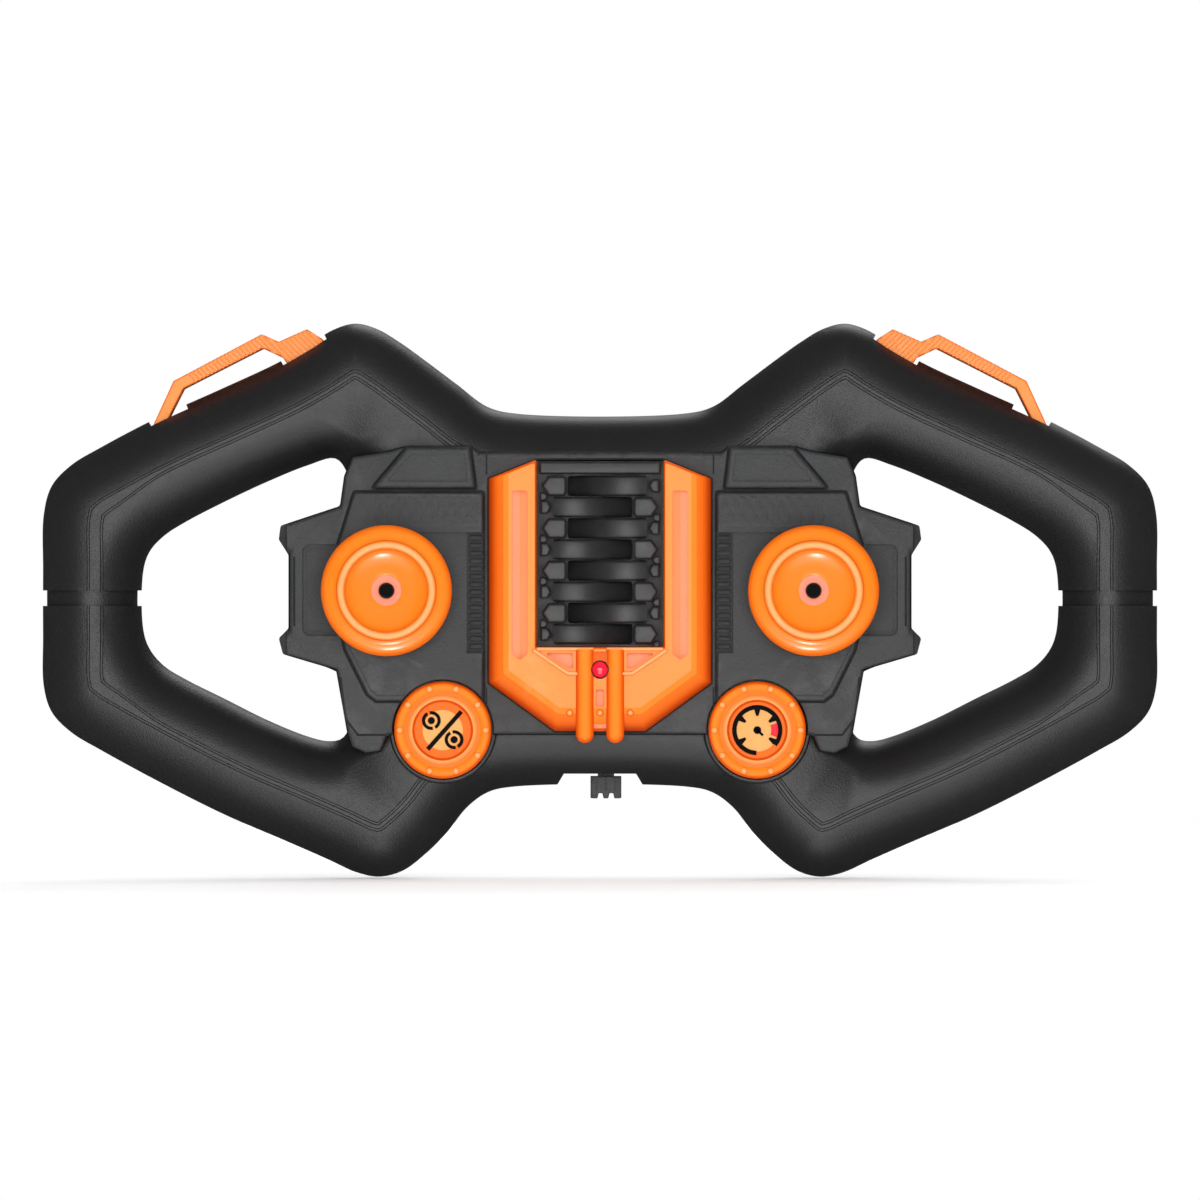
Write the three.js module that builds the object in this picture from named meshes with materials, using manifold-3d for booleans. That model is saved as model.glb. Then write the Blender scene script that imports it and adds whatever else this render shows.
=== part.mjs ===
// Twin-loop radio transmitter for a remote control model.
// Frame: millimetres, +X right, +Z up, the face looks towards -Y.
// Origin: middle of the flat back face, the outside of the battery cover.
// Y values are measured from the plane where the two shells part; the last step moves
// the whole group so that the back face lies at Y = 0.
import * as THREE from "three";
import Module from "manifold-3d";

const wasm = await Module();
wasm.setup();

// ---------------------------------------------------------------- driving dimensions
const SHELL_DEPTH = 11; // half thickness of the tubular housing
const SHELL_BAND = 1; // half height of the straight band at the parting plane
const SHELL_ROUND = 7; // how far in from the outline the rounding runs
const WALL = 2.2; // housing wall
const INNER_DEPTH = SHELL_DEPTH - WALL;
const PART_GAP = 0.15; // half of the gap between the two shells
const FIT = 0.3; // gap between pieces that rest on each other

const CONSOLE_FRONT = -14;
const CONSOLE_BACK = -2;
const PLATE_BACK = CONSOLE_FRONT - FIT; // back of the plates laid on the console
const PLATE_FRONT = -15.8;
const TOP_PANEL_FRONT = -16.3;
const BEZEL_FRONT = -18;
const BACK_FACE = 15.5; // outside face of the battery bay and its cover

// Y ranges that run right through the front wall of the shell and through the console.
const SHELL_CUT_Y = [-12, -7];
const CONSOLE_CUT_Y = [-20, 0];

const WINDOW = { halfWidth: 12.2, bottom: -8.9, top: 27.2 }; // opening for the insert
const LAMP_PLACE = [0, -13.4]; // X, Z
const LAMP_HOLE_R = 1.8;

const STICK_X = 41.2;
const STICK_Z = 1.85;
const STICK_PIVOT_Y = -1;
const STICK_OPENING_R = 9.6;

const BUTTON_X = 30.4;
const BUTTON_Z = -25.1;
const BUTTON_R = 9.4;
const BUTTON_COLLAR_R = 10.7; // raised collar of the housing round each button
const BUTTON_COLLAR_FRONT = -12.6;

const BATTERY_R = 7.25; // AA cell
const BATTERY_LENGTH = 50.5;
const BATTERY_Y = 5.7;
const BATTERY_Z = 7.4;
const BAY_X = 28.6; // half width of the bay
const BAY_Z = 15.6; // half height of the bay
// Stepped seat of the cover: a rectangle with a tongue below it.
const COVER_SEAT = { halfX: 29.9, halfZ: 16.9, floor: 13, tongueHalfX: 6, tongueBottom: -24.1 };
const TONGUE_TOP = -16; // the tongue overlaps the rectangle up to here
const COVER_SCREW_PLACE = [0, -20.5]; // X, Z

const SCREW_PLACES = [[46.8, 43.6], [43.0, -43.7], [98.6, -13.5]]
  .flatMap(([x, z]) => [[-x, z], [x, z]]);

// ---------------------------------------------------------------- outlines, all [x, z]
// Left half of the housing, from the top edge round to the bottom edge.
const OUTLINE = [
  [-15.85, 36.25], [-21.85, 37.75], [-27.85, 42], [-33.85, 46.5], [-38.85, 50.1],
  [-43.35, 52.75], [-47.6, 53.95], [-51.85, 52.75], [-56.85, 49.5], [-62.85, 46.1],
  [-73.85, 41], [-85.85, 35.6], [-96.85, 29.85], [-102.85, 26.25], [-106.6, 22.25],
  [-108.2, 16.75], [-108.35, 5.75], [-108.35, -6.75], [-108.2, -16.75], [-106.6, -21.75],
  [-102.85, -25.65], [-96.85, -29.25], [-84.85, -35.75], [-72.85, -41.75], [-60.85, -46.9],
  [-52.85, -50.25], [-47.35, -52.9], [-42.85, -53.85], [-38.35, -52.65], [-33.85, -49.25],
  [-29.85, -45.25], [-25.85, -40.25], [-21.85, -37.15], [-16.85, -36.25],
];
// Left hand opening.
const HAND_OPENING = [
  [-88.85, 5.75], [-87.6, 9.5], [-84.85, 12.5], [-80.85, 15.1], [-72.85, 19.25], [-64.85, 23],
  [-56.85, 26.25], [-50.85, 27.5], [-48.35, 19.75], [-59.85, 12.75], [-59.85, -9.25],
  [-48.35, -15.75], [-48.85, -26.25], [-52.35, -27.5], [-56.85, -26.5], [-64.85, -23.25],
  [-72.85, -19.25], [-80.85, -15.25], [-84.85, -12.75], [-87.6, -9.5], [-88.85, -5.75],
];
// Left half of the console, with its side wing and its lower lobe.
const CONSOLE = [
  [-23.35, 28.75], [-25.1, 29.95], [-37.35, 29.95], [-40.85, 29], [-48.05, 27.85],
  [-49.55, 24], [-50.35, 18.25], [-61.85, 14.45], [-62.2, 11.75], [-60.3, 8.75],
  [-60.3, -5.45], [-62.2, -7.35], [-61.4, -10.45], [-51.1, -13.5], [-48.85, -26.25],
  [-48.15, -28.45], [-45.45, -29.75], [-42.35, -29.35], [-41, -26.05],
];
// Left plate round the stick.
const FASCIA = [
  [-44.6, 20.9], [-22.6, 20.9], [-22.6, -19.5], [-43.45, -19.5], [-45, -18.2],
  [-49.25, -9.7], [-51.5, -0.25], [-51.5, 10.4], [-50.6, 14.75],
];
// Left panel above the fascia plate.
const TOP_PANEL = [[-37.35, 29.65], [-25.1, 29.65], [-24.05, 21.65], [-44.1, 21.65]];
// Whole U-shaped bezel.
const BEZEL = [
  [-12.25, 27.25], [-21.55, 23.5], [-21.55, -16], [-8.75, -25.35], [8.75, -25.35],
  [21.55, -16], [21.55, 23.5], [12.25, 27.25], [12.25, -9], [-12.25, -9],
];

// ---------------------------------------------------------------- solids
// Joins the shared vertices of a closed geometry and turns its faces outwards.
function solid(geometry) {
  const CELLS_PER_MM = 100;
  const TOLERANCE = 5e-4;
  const position = geometry.getAttribute("position");
  const order = geometry.index?.array;
  const count = order ? order.length : position.count;
  const vertices = [];
  const cells = new Map();
  const isNear = (vertex, point) =>
    point.every((value, axis) => Math.abs(vertices[3 * vertex + axis] - value) < TOLERANCE);

  function vertexAt(point) {
    const [cx, cy, cz] = point.map((value) => Math.round(value * CELLS_PER_MM));
    for (let i = -1; i <= 1; i++)
      for (let j = -1; j <= 1; j++)
        for (let k = -1; k <= 1; k++)
          for (const vertex of cells.get(`${cx + i},${cy + j},${cz + k}`) || [])
            if (isNear(vertex, point)) return vertex;
    const added = vertices.length / 3;
    vertices.push(...point);
    const key = `${cx},${cy},${cz}`;
    if (!cells.has(key)) cells.set(key, []);
    cells.get(key).push(added);
    return added;
  }

  const triangles = [];
  for (let i = 0; i < count; i += 3) {
    const corners = [i, i + 1, i + 2].map((k) => {
      const n = order ? order[k] : k;
      return vertexAt([position.getX(n), position.getY(n), position.getZ(n)]);
    });
    if (new Set(corners).size === 3) triangles.push(...corners);
  }
  const made = fromMesh(new Float32Array(vertices), new Uint32Array(triangles));
  if (made.volume() >= 0) return made;
  return fromMesh(new Float32Array(vertices), reversed(triangles));
}

const fromMesh = (vertProperties, triVerts) =>
  new wasm.Manifold(new wasm.Mesh({ numProp: 3, vertProperties, triVerts }));

// Triangle corners in the opposite winding.
function reversed(triangles) {
  const turned = new Uint32Array(triangles);
  for (let i = 0; i < turned.length; i += 3)
    [turned[i + 1], turned[i + 2]] = [turned[i + 2], turned[i + 1]];
  return turned;
}

// Vertex positions of a manifold mesh, with X scaled by 1 or -1.
function positionsOf(mesh, scaleX = 1) {
  const positions = new Float32Array(mesh.numVert * 3);
  for (let i = 0; i < mesh.numVert; i++)
    for (let k = 0; k < 3; k++)
      positions[3 * i + k] = mesh.vertProperties[i * mesh.numProp + k] * (k ? 1 : scaleX);
  return positions;
}

// A left-hand solid and its mirror image on the right.
function both(left) {
  const mesh = left.getMesh();
  return [left, fromMesh(positionsOf(mesh, -1), reversed(mesh.triVerts))];
}

const join = (...parts) => parts.reduce((a, b) => a.add(b));
const cut = (base, ...tools) => tools.reduce((a, b) => a.subtract(b), base);

const vectors = (points) => points.map(([x, y]) => new THREE.Vector2(x, y));
const flip = (points) => points.map(([x, z]) => [-x, z]).reverse();
const symmetric = (half) => [...half, ...flip(half)];
const around = (half) => [-half, half];

// An X-Z outline over a Y range; a bevel softens both rims inside the outline.
function prism(points, [front, back], bevel = 0) {
  const geometry = new THREE.ExtrudeGeometry(new THREE.Shape(vectors(points)), {
    depth: back - front - 2 * bevel,
    bevelEnabled: bevel > 0,
    bevelThickness: bevel,
    bevelSize: bevel,
    bevelOffset: -bevel,
    bevelSegments: 1,
  });
  return solid(geometry.rotateX(Math.PI / 2).translate(0, back - bevel, 0));
}

const boxGeometry = ([x0, x1], [y0, y1], [z0, z1]) =>
  new THREE.BoxGeometry(x1 - x0, y1 - y0, z1 - z0)
    .translate((x0 + x1) / 2, (y0 + y1) / 2, (z0 + z1) / 2);
const box = (xRange, yRange, zRange) => solid(boxGeometry(xRange, yRange, zRange));

// A cylinder along Y.
const rod = ([x, z], radius, [y0, y1], segments) =>
  solid(
    new THREE.CylinderGeometry(radius, radius, y1 - y0, segments).translate(x, (y0 + y1) / 2, z),
  );

// A profile [radius, height] turned about the -Y direction through (x, y, z).
const turned = (profile, [x, y, z], segments) =>
  solid(new THREE.LatheGeometry(vectors(profile), segments).rotateX(Math.PI).translate(x, y, z));

// A wire of polygonal section along a smooth curve through the points.
function wireGeometry(points, radius, steps, sides) {
  const section = Array.from({ length: sides }, (_, i) => {
    const angle = (i / sides) * 2 * Math.PI;
    return new THREE.Vector2(radius * Math.cos(angle), radius * Math.sin(angle));
  });
  const extrudePath = new THREE.CatmullRomCurve3(points.map((p) => new THREE.Vector3(...p)));
  return new THREE.ExtrudeGeometry(new THREE.Shape(section), {
    steps, bevelEnabled: false, extrudePath,
  });
}

// A coil of square wire about an X axis, starting at x; its radius shrinks by the taper.
function coilGeometry({ x, y = 0, z = 0, length, radius, taper = 0, turns, wireRadius, steps }) {
  const POINTS_PER_TURN = 8;
  const last = turns * POINTS_PER_TURN;
  const points = Array.from({ length: last + 1 }, (_, i) => {
    const angle = (i / POINTS_PER_TURN) * 2 * Math.PI;
    const r = radius - (taper * i) / last;
    return [x + (length * i) / last, y + r * Math.cos(angle), z + r * Math.sin(angle)];
  });
  return wireGeometry(points, wireRadius, steps, 4);
}

// ---------------------------------------------------------------- materials and groups
const FINISHES = {
  black: { color: 0x262627, roughness: 0.55, metalness: 0 },
  grey: { color: 0x47484a, roughness: 0.6, metalness: 0 },
  dark: { color: 0x1b1b1c, roughness: 0.5, metalness: 0 },
  orange: { color: 0xff7a14, roughness: 0.35, metalness: 0 },
  red: { color: 0xd81430, roughness: 0.2, metalness: 0 },
  steel: { color: 0xb9bcc0, roughness: 0.35, metalness: 1 },
  brass: { color: 0xc9a552, roughness: 0.35, metalness: 1 },
  board: { color: 0x1f6b3a, roughness: 0.5, metalness: 0 },
  rubber: { color: 0x8c8f92, roughness: 0.9, metalness: 0 },
  cell: { color: 0x2f4f7a, roughness: 0.35, metalness: 0.2 },
  wire: { color: 0x8f1d1d, roughness: 0.6, metalness: 0 },
};

const controller = new THREE.Group();
controller.name = "radio_transmitter";

function group(name) {
  const made = new THREE.Group();
  made.name = name;
  controller.add(made);
  return made;
}
const housing = group("housing");

function put(name, piece, finish, parent = housing) {
  const source = piece.getMesh();
  const geometry = new THREE.BufferGeometry();
  geometry.setAttribute("position", new THREE.BufferAttribute(positionsOf(source), 3));
  geometry.setIndex(new THREE.BufferAttribute(new Uint32Array(source.triVerts), 1));
  geometry.computeVertexNormals();
  const material = new THREE.MeshStandardMaterial({ ...FINISHES[finish], flatShading: true });
  const mesh = new THREE.Mesh(geometry, material);
  mesh.name = name;
  parent.add(mesh);
}

// Puts a left-hand piece and its mirror image.
function putBoth(name, left, finish) {
  const [leftPiece, rightPiece] = both(left);
  put(`left_${name}`, leftPiece, finish);
  put(`right_${name}`, rightPiece, finish);
}

// ---------------------------------------------------------------- shoulder key places
const EDGE_SLOPE = THREE.MathUtils.degToRad(26.8); // slope of the upper handle edge
const KEY_X = -86.5; // outer end of the left key on that edge
const KEY_Z = 34.1;
const KEY_HALF_WIDTH = 5;
const KEY_PIN_R = 0.8;
const KEY_PIN_HOLE_R = 0.95;

// [along the left handle edge, out of it] to [x, z].
const onEdge = ([along, out]) => [
  KEY_X + along * Math.cos(EDGE_SLOPE) - out * Math.sin(EDGE_SLOPE),
  KEY_Z + along * Math.sin(EDGE_SLOPE) + out * Math.cos(EDGE_SLOPE),
];
const edgeBlock = ([a0, a1], [o0, o1], yRange) =>
  prism([[a0, o0], [a1, o0], [a1, o1], [a0, o1]].map(onEdge), yRange);
const keyPinPlace = onEdge([34, -3.5]);

// Ears on the inside of a shell that hold the key pins.
const keyEars = ([y0, y1]) =>
  both(
    cut(
      edgeBlock([31.4, 36.6], [-6.2, -2.2], [y0, y1]),
      rod(keyPinPlace, KEY_PIN_HOLE_R, [y0 - 1, y1 + 1], 12),
    ),
  );

// ---------------------------------------------------------------- housing
// The rounded twin-loop body: its outline is stepped in along a quarter ellipse to both faces.
function body({ inset, round, depth, band, steps }) {
  const shape = new THREE.Shape(vectors(symmetric(OUTLINE)));
  for (const hole of [HAND_OPENING, flip(HAND_OPENING)])
    shape.holes.push(new THREE.Path(vectors(hole)));
  const geometry = new THREE.ExtrudeGeometry(shape, {
    depth: 2 * band,
    bevelEnabled: true,
    bevelThickness: depth - band,
    bevelSize: round,
    bevelOffset: -round - inset,
    bevelSegments: steps,
  });
  return solid(geometry.rotateX(Math.PI / 2).translate(0, band, 0));
}

const GROOVE_DEPTH = 0.8;
const outer = body({
  inset: 0, round: SHELL_ROUND, depth: SHELL_DEPTH, band: SHELL_BAND, steps: 3,
});
const outerWithGap = body({
  inset: -FIT, round: SHELL_ROUND, depth: SHELL_DEPTH + FIT, band: SHELL_BAND, steps: 3,
});
const hollow = body({
  inset: WALL, round: SHELL_ROUND - 2, depth: INNER_DEPTH, band: SHELL_BAND - 0.2, steps: 2,
});
const grooveCore = body({
  inset: GROOVE_DEPTH,
  round: SHELL_ROUND - 0.4,
  depth: SHELL_DEPTH - GROOVE_DEPTH,
  band: SHELL_BAND - 0.1,
  steps: 3,
});

// Openings; each takes the Y range it cuts through.
const windowCut = (yRange) =>
  box(around(WINDOW.halfWidth), yRange, [WINDOW.bottom, WINDOW.top]);
const lampCut = (yRange) => rod(LAMP_PLACE, LAMP_HOLE_R, yRange, 12);
const stickCut = (side, yRange) => rod([side * STICK_X, STICK_Z], STICK_OPENING_R, yRange, 28);
const buttonPlace = (side) => [side * BUTTON_X, BUTTON_Z];

// Ring groove round the outer side of each handle at mid height.
const ringGroove = cut(
  join(...[[-112, -84], [84, 112]].map((xRange) => box(xRange, around(12), [-1.1, 1.9]))),
  grooveCore,
);
// Notch in the bottom edge with the slot for the power switch knob.
const switchNotch = prism([[-9.2, -37], [-7, -33.65], [7, -33.65], [9.2, -37]], around(12));
const switchSlot = box(around(4.9), around(2.6), [-34.5, -30]);

const keyOpeningY = around(KEY_HALF_WIDTH + 0.4);
const keyOpenings = join(
  edgeBlock([-0.9, 7.2], [-6, 3], keyOpeningY),
  edgeBlock([27.4, 37.3], [-5, 3], keyOpeningY),
);
// Cuts that both shells share.
const sharedCuts = [
  ringGroove,
  switchNotch,
  switchSlot,
  ...both(keyOpenings),
  ...both(rod(keyPinPlace, KEY_PIN_HOLE_R, around(7.45), 12)),
];

// One half of the outer body, within the given Y range.
const shellHalf = (yRange) => outer.intersect(box(around(120), yRange, around(60)));

function frontShell() {
  let shell = shellHalf([-30, -PART_GAP]);
  for (const side of [-1, 1])
    shell = join(shell, rod(buttonPlace(side), BUTTON_COLLAR_R, [BUTTON_COLLAR_FRONT, -4], 32));
  shell = cut(shell, hollow);
  // Screw posts, each with a pilot hole.
  for (const place of SCREW_PLACES) {
    shell = join(shell, rod(place, 3.2, [-INNER_DEPTH - 0.5, -0.4], 12));
    shell = cut(shell, rod(place, 1.35, [-7.4, 1], 10));
  }
  shell = join(shell, ...keyEars([-7.3, -5.6]));
  shell = cut(shell, ...sharedCuts);
  for (const side of [-1, 1])
    shell = cut(
      shell,
      stickCut(side, SHELL_CUT_Y),
      rod(buttonPlace(side), BUTTON_R + 0.4, [-14, -6], 32),
    );
  return cut(shell, windowCut(SHELL_CUT_Y), lampCut(SHELL_CUT_Y));
}
put("front_shell", frontShell(), "black");

// Battery bay: a raised block behind the hub with a tub that reaches inwards.
const BAY_BLOCK = [
  [-31.5, 17], [-29.5, 19], [29.5, 19], [31.5, 17],
  [31.5, -24], [29.5, -26], [-29.5, -26], [-31.5, -24],
];
function rearShell() {
  const { halfX, halfZ, floor, tongueHalfX, tongueBottom } = COVER_SEAT;
  let shell = cut(shellHalf([PART_GAP, 30]), hollow);
  // Screw posts, each with a clearance hole and a recess for the head.
  for (const place of SCREW_PLACES) {
    shell = join(shell, rod(place, 3.8, [0.4, INNER_DEPTH + 0.5], 12));
    shell = cut(shell, rod(place, 1.5, [-1, 6], 10), rod(place, 2.9, [5, 12], 12));
  }
  shell = join(
    shell,
    ...keyEars([5.6, 7.3]),
    ...both(edgeBlock([-1.5, 6], [-15.5, -7.2], [3.3, 9])), // ledges for the key switches
    join(prism(BAY_BLOCK, [8, BACK_FACE], 1.2)),
    box(around(30), [-3.4, 9], around(17)),
  );
  return cut(
    shell,
    box(around(BAY_X), [-1.9, 20], around(BAY_Z)),
    box(around(halfX), [floor, 20], around(halfZ)),
    box(around(tongueHalfX), [floor, 20], [tongueBottom, TONGUE_TOP]),
    rod(COVER_SCREW_PLACE, 1.35, [4, 14], 12),
    ...both(box([-28.2, -24.9], [-4, 0], [-10.5, -4.5])), // solder tabs of the contacts
    box(around(40), [8.0, 8.9], [19.6, 29]), // relief above the bay
    ...sharedCuts,
  );
}
put("rear_shell", rearShell(), "black");

SCREW_PLACES.forEach((place, i) => {
  const head = rod(place, 2.5, [5.3, 7.4], 14);
  const shank = rod(place, 1.2, [-6.6, 5.6], 8);
  put(`housing_screw_${i + 1}`, join(head, shank), "steel");
});

// ---------------------------------------------------------------- console, plates and bezel
const consoleButtonCut = (side) =>
  rod(buttonPlace(side), BUTTON_COLLAR_R + FIT, CONSOLE_CUT_Y, 32);

const consoleFrame = () =>
  cut(
    prism(symmetric(CONSOLE), [CONSOLE_FRONT, CONSOLE_BACK], 0.7),
    outerWithGap,
    windowCut(CONSOLE_CUT_Y),
    lampCut(CONSOLE_CUT_Y),
    ...[-1, 1].map((side) => stickCut(side, CONSOLE_CUT_Y)),
    ...[-1, 1].map(consoleButtonCut),
  );
put("console_frame", consoleFrame(), "grey");

const leftFascia = () =>
  cut(
    prism(FASCIA, [PLATE_FRONT, PLATE_BACK], 0.5),
    stickCut(-1, CONSOLE_CUT_Y),
    consoleButtonCut(-1),
  );
putBoth("fascia_plate", leftFascia(), "grey");
putBoth("top_panel", prism(TOP_PANEL, [TOP_PANEL_FRONT, PLATE_BACK], 0.7), "grey");

// An upright rib on the bezel, with its lower end narrowed.
const RIB = { x: 2.85, halfWidth: 1.8, tipHalfWidth: 0.8, top: -9.6, bottom: -27.35, rise: 0.9 };
function rib(x) {
  const { halfWidth, tipHalfWidth, top, bottom, rise } = RIB;
  const outline = [
    [x - halfWidth, top], [x + halfWidth, top],
    [x + halfWidth, bottom + 1], [x + tipHalfWidth, bottom],
    [x - tipHalfWidth, bottom], [x - halfWidth, bottom + 1],
  ];
  return prism(outline, [BEZEL_FRONT - rise, PLATE_BACK], 0.5);
}
const centreBezel = () =>
  cut(
    join(prism(BEZEL, [BEZEL_FRONT, PLATE_BACK], 1.2), rib(-RIB.x), rib(RIB.x)),
    ...both(box([-17, -14.8], [-20, -16.9], [-10.6, 21.25])), // upright grooves
    lampCut(CONSOLE_CUT_Y),
  );
put("centre_bezel", centreBezel(), "orange");

// Slatted insert: rows that rise from one side, alternating.
const SLAT_ROWS = 8;
const SLAT_PITCH = 4.1;
const SLAT_TOP_ROW_Z = 22.1;
const SLAT_THICKNESS = 3.5;
const SLAT = [ // [x, y]
  [-11.6, -11.5], [-11.6, -16], [-6.8, -16.4], [-6.2, -12.6], [-1.6, -13],
  [2, -15.4], [9.4, -15.7], [10.6, -14], [10.9, -11.5],
];
function slat(row) {
  const z = SLAT_TOP_ROW_Z - row * SLAT_PITCH;
  const shape = new THREE.Shape(vectors(row % 2 ? flip(SLAT) : SLAT));
  const geometry = new THREE.ExtrudeGeometry(shape, {
    depth: SLAT_THICKNESS, bevelEnabled: false,
  });
  return solid(geometry.translate(0, 0, z - SLAT_THICKNESS / 2));
}
const centreInsert = () =>
  join(
    box(around(WINDOW.halfWidth - FIT), [-12, -7.6], [WINDOW.bottom + FIT, WINDOW.top - FIT]),
    ...Array.from({ length: SLAT_ROWS }, (_, row) => slat(row)),
  );
put("centre_insert", centreInsert(), "dark");

function statusLed() {
  const radius = LAMP_HOLE_R - FIT;
  const [x, z] = LAMP_PLACE;
  const profile = [[0, 6.1], [radius, 6.1], [radius, 17.8], [1.1, 18.6], [0, 18.9]];
  return turned(profile, [x, 0, z], 14);
}
put("status_led", statusLed(), "red");

// ---------------------------------------------------------------- electronics
const BOARD_Y = [-5.3, -3.7];
const mainBoard = join(
  box(around(29.4), BOARD_Y, [-20, 27]),
  box(around(38.5), BOARD_Y, [-31.2, -14]),
);
put("main_board", mainBoard, "board");

// A block in front of the board, stepped down along its front left edge.
const radioModule = cut(
  box([-22, -14.5], [-7.4, BOARD_Y[0] - FIT], [8, 20]),
  box([-24, -20.5], [-8, -6.6], [0, 30]),
);
put("radio_module", radioModule, "steel");

const ANTENNA_PATH = [ // [x, y, z]
  [-24, -6.6, 22.5], [-25, -6.8, 27], [-22, -5, 31], [-10, -3, 32], [8, -3, 32], [24, -3, 31.6],
];
put("antenna_wire", solid(wireGeometry(ANTENNA_PATH, 0.55, 16, 5)), "dark");

// A block stepped down along its upper front edge.
const powerSwitchBody = cut(
  box(around(6), [-2.8, 3], [-30.2, -24.5]),
  box(around(7), [-4, -1.6], [-26, -20]),
);
put("power_switch_body", powerSwitchBody, "steel");

// Ribbed knob on a stem that reaches through the slot.
const KNOB_X = 1.15;
const KNOB = [ // [x from the knob's middle, z]
  [-3, -34.2], [3, -34.2], [3, -38.5], [2.1, -38.5], [1.6, -37.6], [0.5, -37.6],
  [0, -38.5], [-0.5, -38.5], [-1, -37.6], [-1.9, -37.6], [-2.3, -38.5], [-3, -38.5],
];
const powerKnob = join(
  prism(KNOB.map(([x, z]) => [KNOB_X + x, z]), around(3)),
  box([KNOB_X - 1.6, KNOB_X + 1.6], around(1.6), [-34.5, -30.7]),
);
put("power_switch_knob", powerKnob, "dark", group("power_slider"));

// ---------------------------------------------------------------- sticks
const DOME_R = 10.3;
const DOME_WALL = 1.5;
const DOME_HALF_ANGLE = 72; // degrees
const STICK_PIN_R = 1.0;
const STICK_BORE_R = STICK_PIN_R + 0.12;
const STICK_CAP_R = 12.65;

// Profiles are [radius, height in front of the pivot].
const arc = (radius, from, to, steps) =>
  Array.from({ length: steps + 1 }, (_, i) => {
    const angle = THREE.MathUtils.degToRad(from + ((to - from) * i) / steps);
    return [radius * Math.sin(angle), radius * Math.cos(angle)];
  });
const DOME = [
  ...arc(DOME_R - DOME_WALL, 0, DOME_HALF_ANGLE, 3),
  ...arc(DOME_R, DOME_HALF_ANGLE, 0, 4),
];
const STEM = [
  [0, -4.4], [1.2, -4.4], [1.2, 0], [2.2, 0], [2.2, 8.2], [2.9, 8.8], [2.9, 19.4], [0, 19.4],
];
const STEM_BORE = [[0, 12], [0.95, 12], [0.95, 21], [0, 21]];
const STICK_CAP = [
  [3.1, 15], [4.6, 15], [5, 19.2], [11.6, 19.7], [STICK_CAP_R, 20.6], [STICK_CAP_R, 21.7],
  [11.9, 22.6], [9.6, 22.9], [8.75, 23.6], [7.9, 22.9], [4.6, 22.1], [2.85, 21.9],
  [1.5, 21.2], [1.5, 19.8], [3.1, 19.8], [3.1, 15],
];
const STICK_SCREW = [[0, 13], [0.8, 13], [0.8, 19.9], [1.25, 19.9], [1.25, 20.8], [0, 20.8]];

// One stick; its pivot pin lies along X, or along Z when upright.
function putStick(name, side, upright) {
  const pivot = [side * STICK_X, STICK_PIVOT_Y, STICK_Z];
  // Geometry is drawn about the pivot with the pin along X.
  const place = (geometry) => {
    if (upright) geometry.rotateY(Math.PI / 2);
    return solid(geometry.translate(...pivot));
  };
  const pinRod = (radius, half) =>
    place(new THREE.CylinderGeometry(radius, radius, 2 * half, 16).rotateZ(Math.PI / 2));
  const block = (...ranges) => place(boxGeometry(...ranges));
  const lathe = (profile, segments) => turned(profile, pivot, segments);

  const moving = group(`${name}_stick`);
  const post = cut(
    join(lathe(DOME, 20), lathe(STEM, 12), pinRod(2.6, 2.4)),
    pinRod(STICK_BORE_R, 6),
    lathe(STEM_BORE, 8),
  );
  put(`${name}_stick_post`, post, "dark", moving);
  put(`${name}_stick_cap`, lathe(STICK_CAP, 20), "orange", moving);
  put(`${name}_stick_screw`, lathe(STICK_SCREW, 10), "steel", moving);

  put(`${name}_stick_pin`, pinRod(STICK_PIN_R, 7.4), "steel");
  // Base plate behind the pivot with two ears that carry the pin.
  const bracket = cut(
    join(
      block(around(8), [7.9, 9.4], around(6)),
      block([-7, -5], [-2.6, 8.2], around(2.5)),
      block([5, 7], [-2.6, 8.2], around(2.5)),
    ),
    pinRod(STICK_BORE_R, 9),
  );
  put(`${name}_stick_bracket`, bracket, "steel");
  // Centring spring: a short coil round the pin between the stem and one ear.
  const spring = coilGeometry({
    x: 3.05, length: 1.3, radius: 1.75, turns: 3, wireRadius: 0.2, steps: 30,
  });
  put(`${name}_stick_spring`, place(spring), "steel");
}
putStick("left", -1, false);
putStick("right", 1, true);

// ---------------------------------------------------------------- round buttons
// Profiles are [radius, height in front of the parting plane].
const BUTTON_CAP = [
  [0, 8.8], [2.6, 8.8], [2.6, 14.6], [7.9, 14.6], [7.9, 7.7], [BUTTON_R, 7.7],
  [BUTTON_R, 16.6], [8.6, 17.4], [6.8, 17.4], [6, 16.7], [5.5, 17], [0, 17.1],
];
const BUTTON_PAD = [[0, 5.6], [3.4, 5.6], [3.4, 6.1], [2.2, 7.2], [0, 7.4]];

for (const [name, side] of [["left", -1], ["right", 1]]) {
  const centre = [side * BUTTON_X, 0, BUTTON_Z];
  put(`${name}_button_cap`, turned(BUTTON_CAP, centre, 22), "orange", group(`${name}_button`));
  put(`${name}_button_pad`, turned(BUTTON_PAD, centre, 14), "rubber");
}

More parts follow.
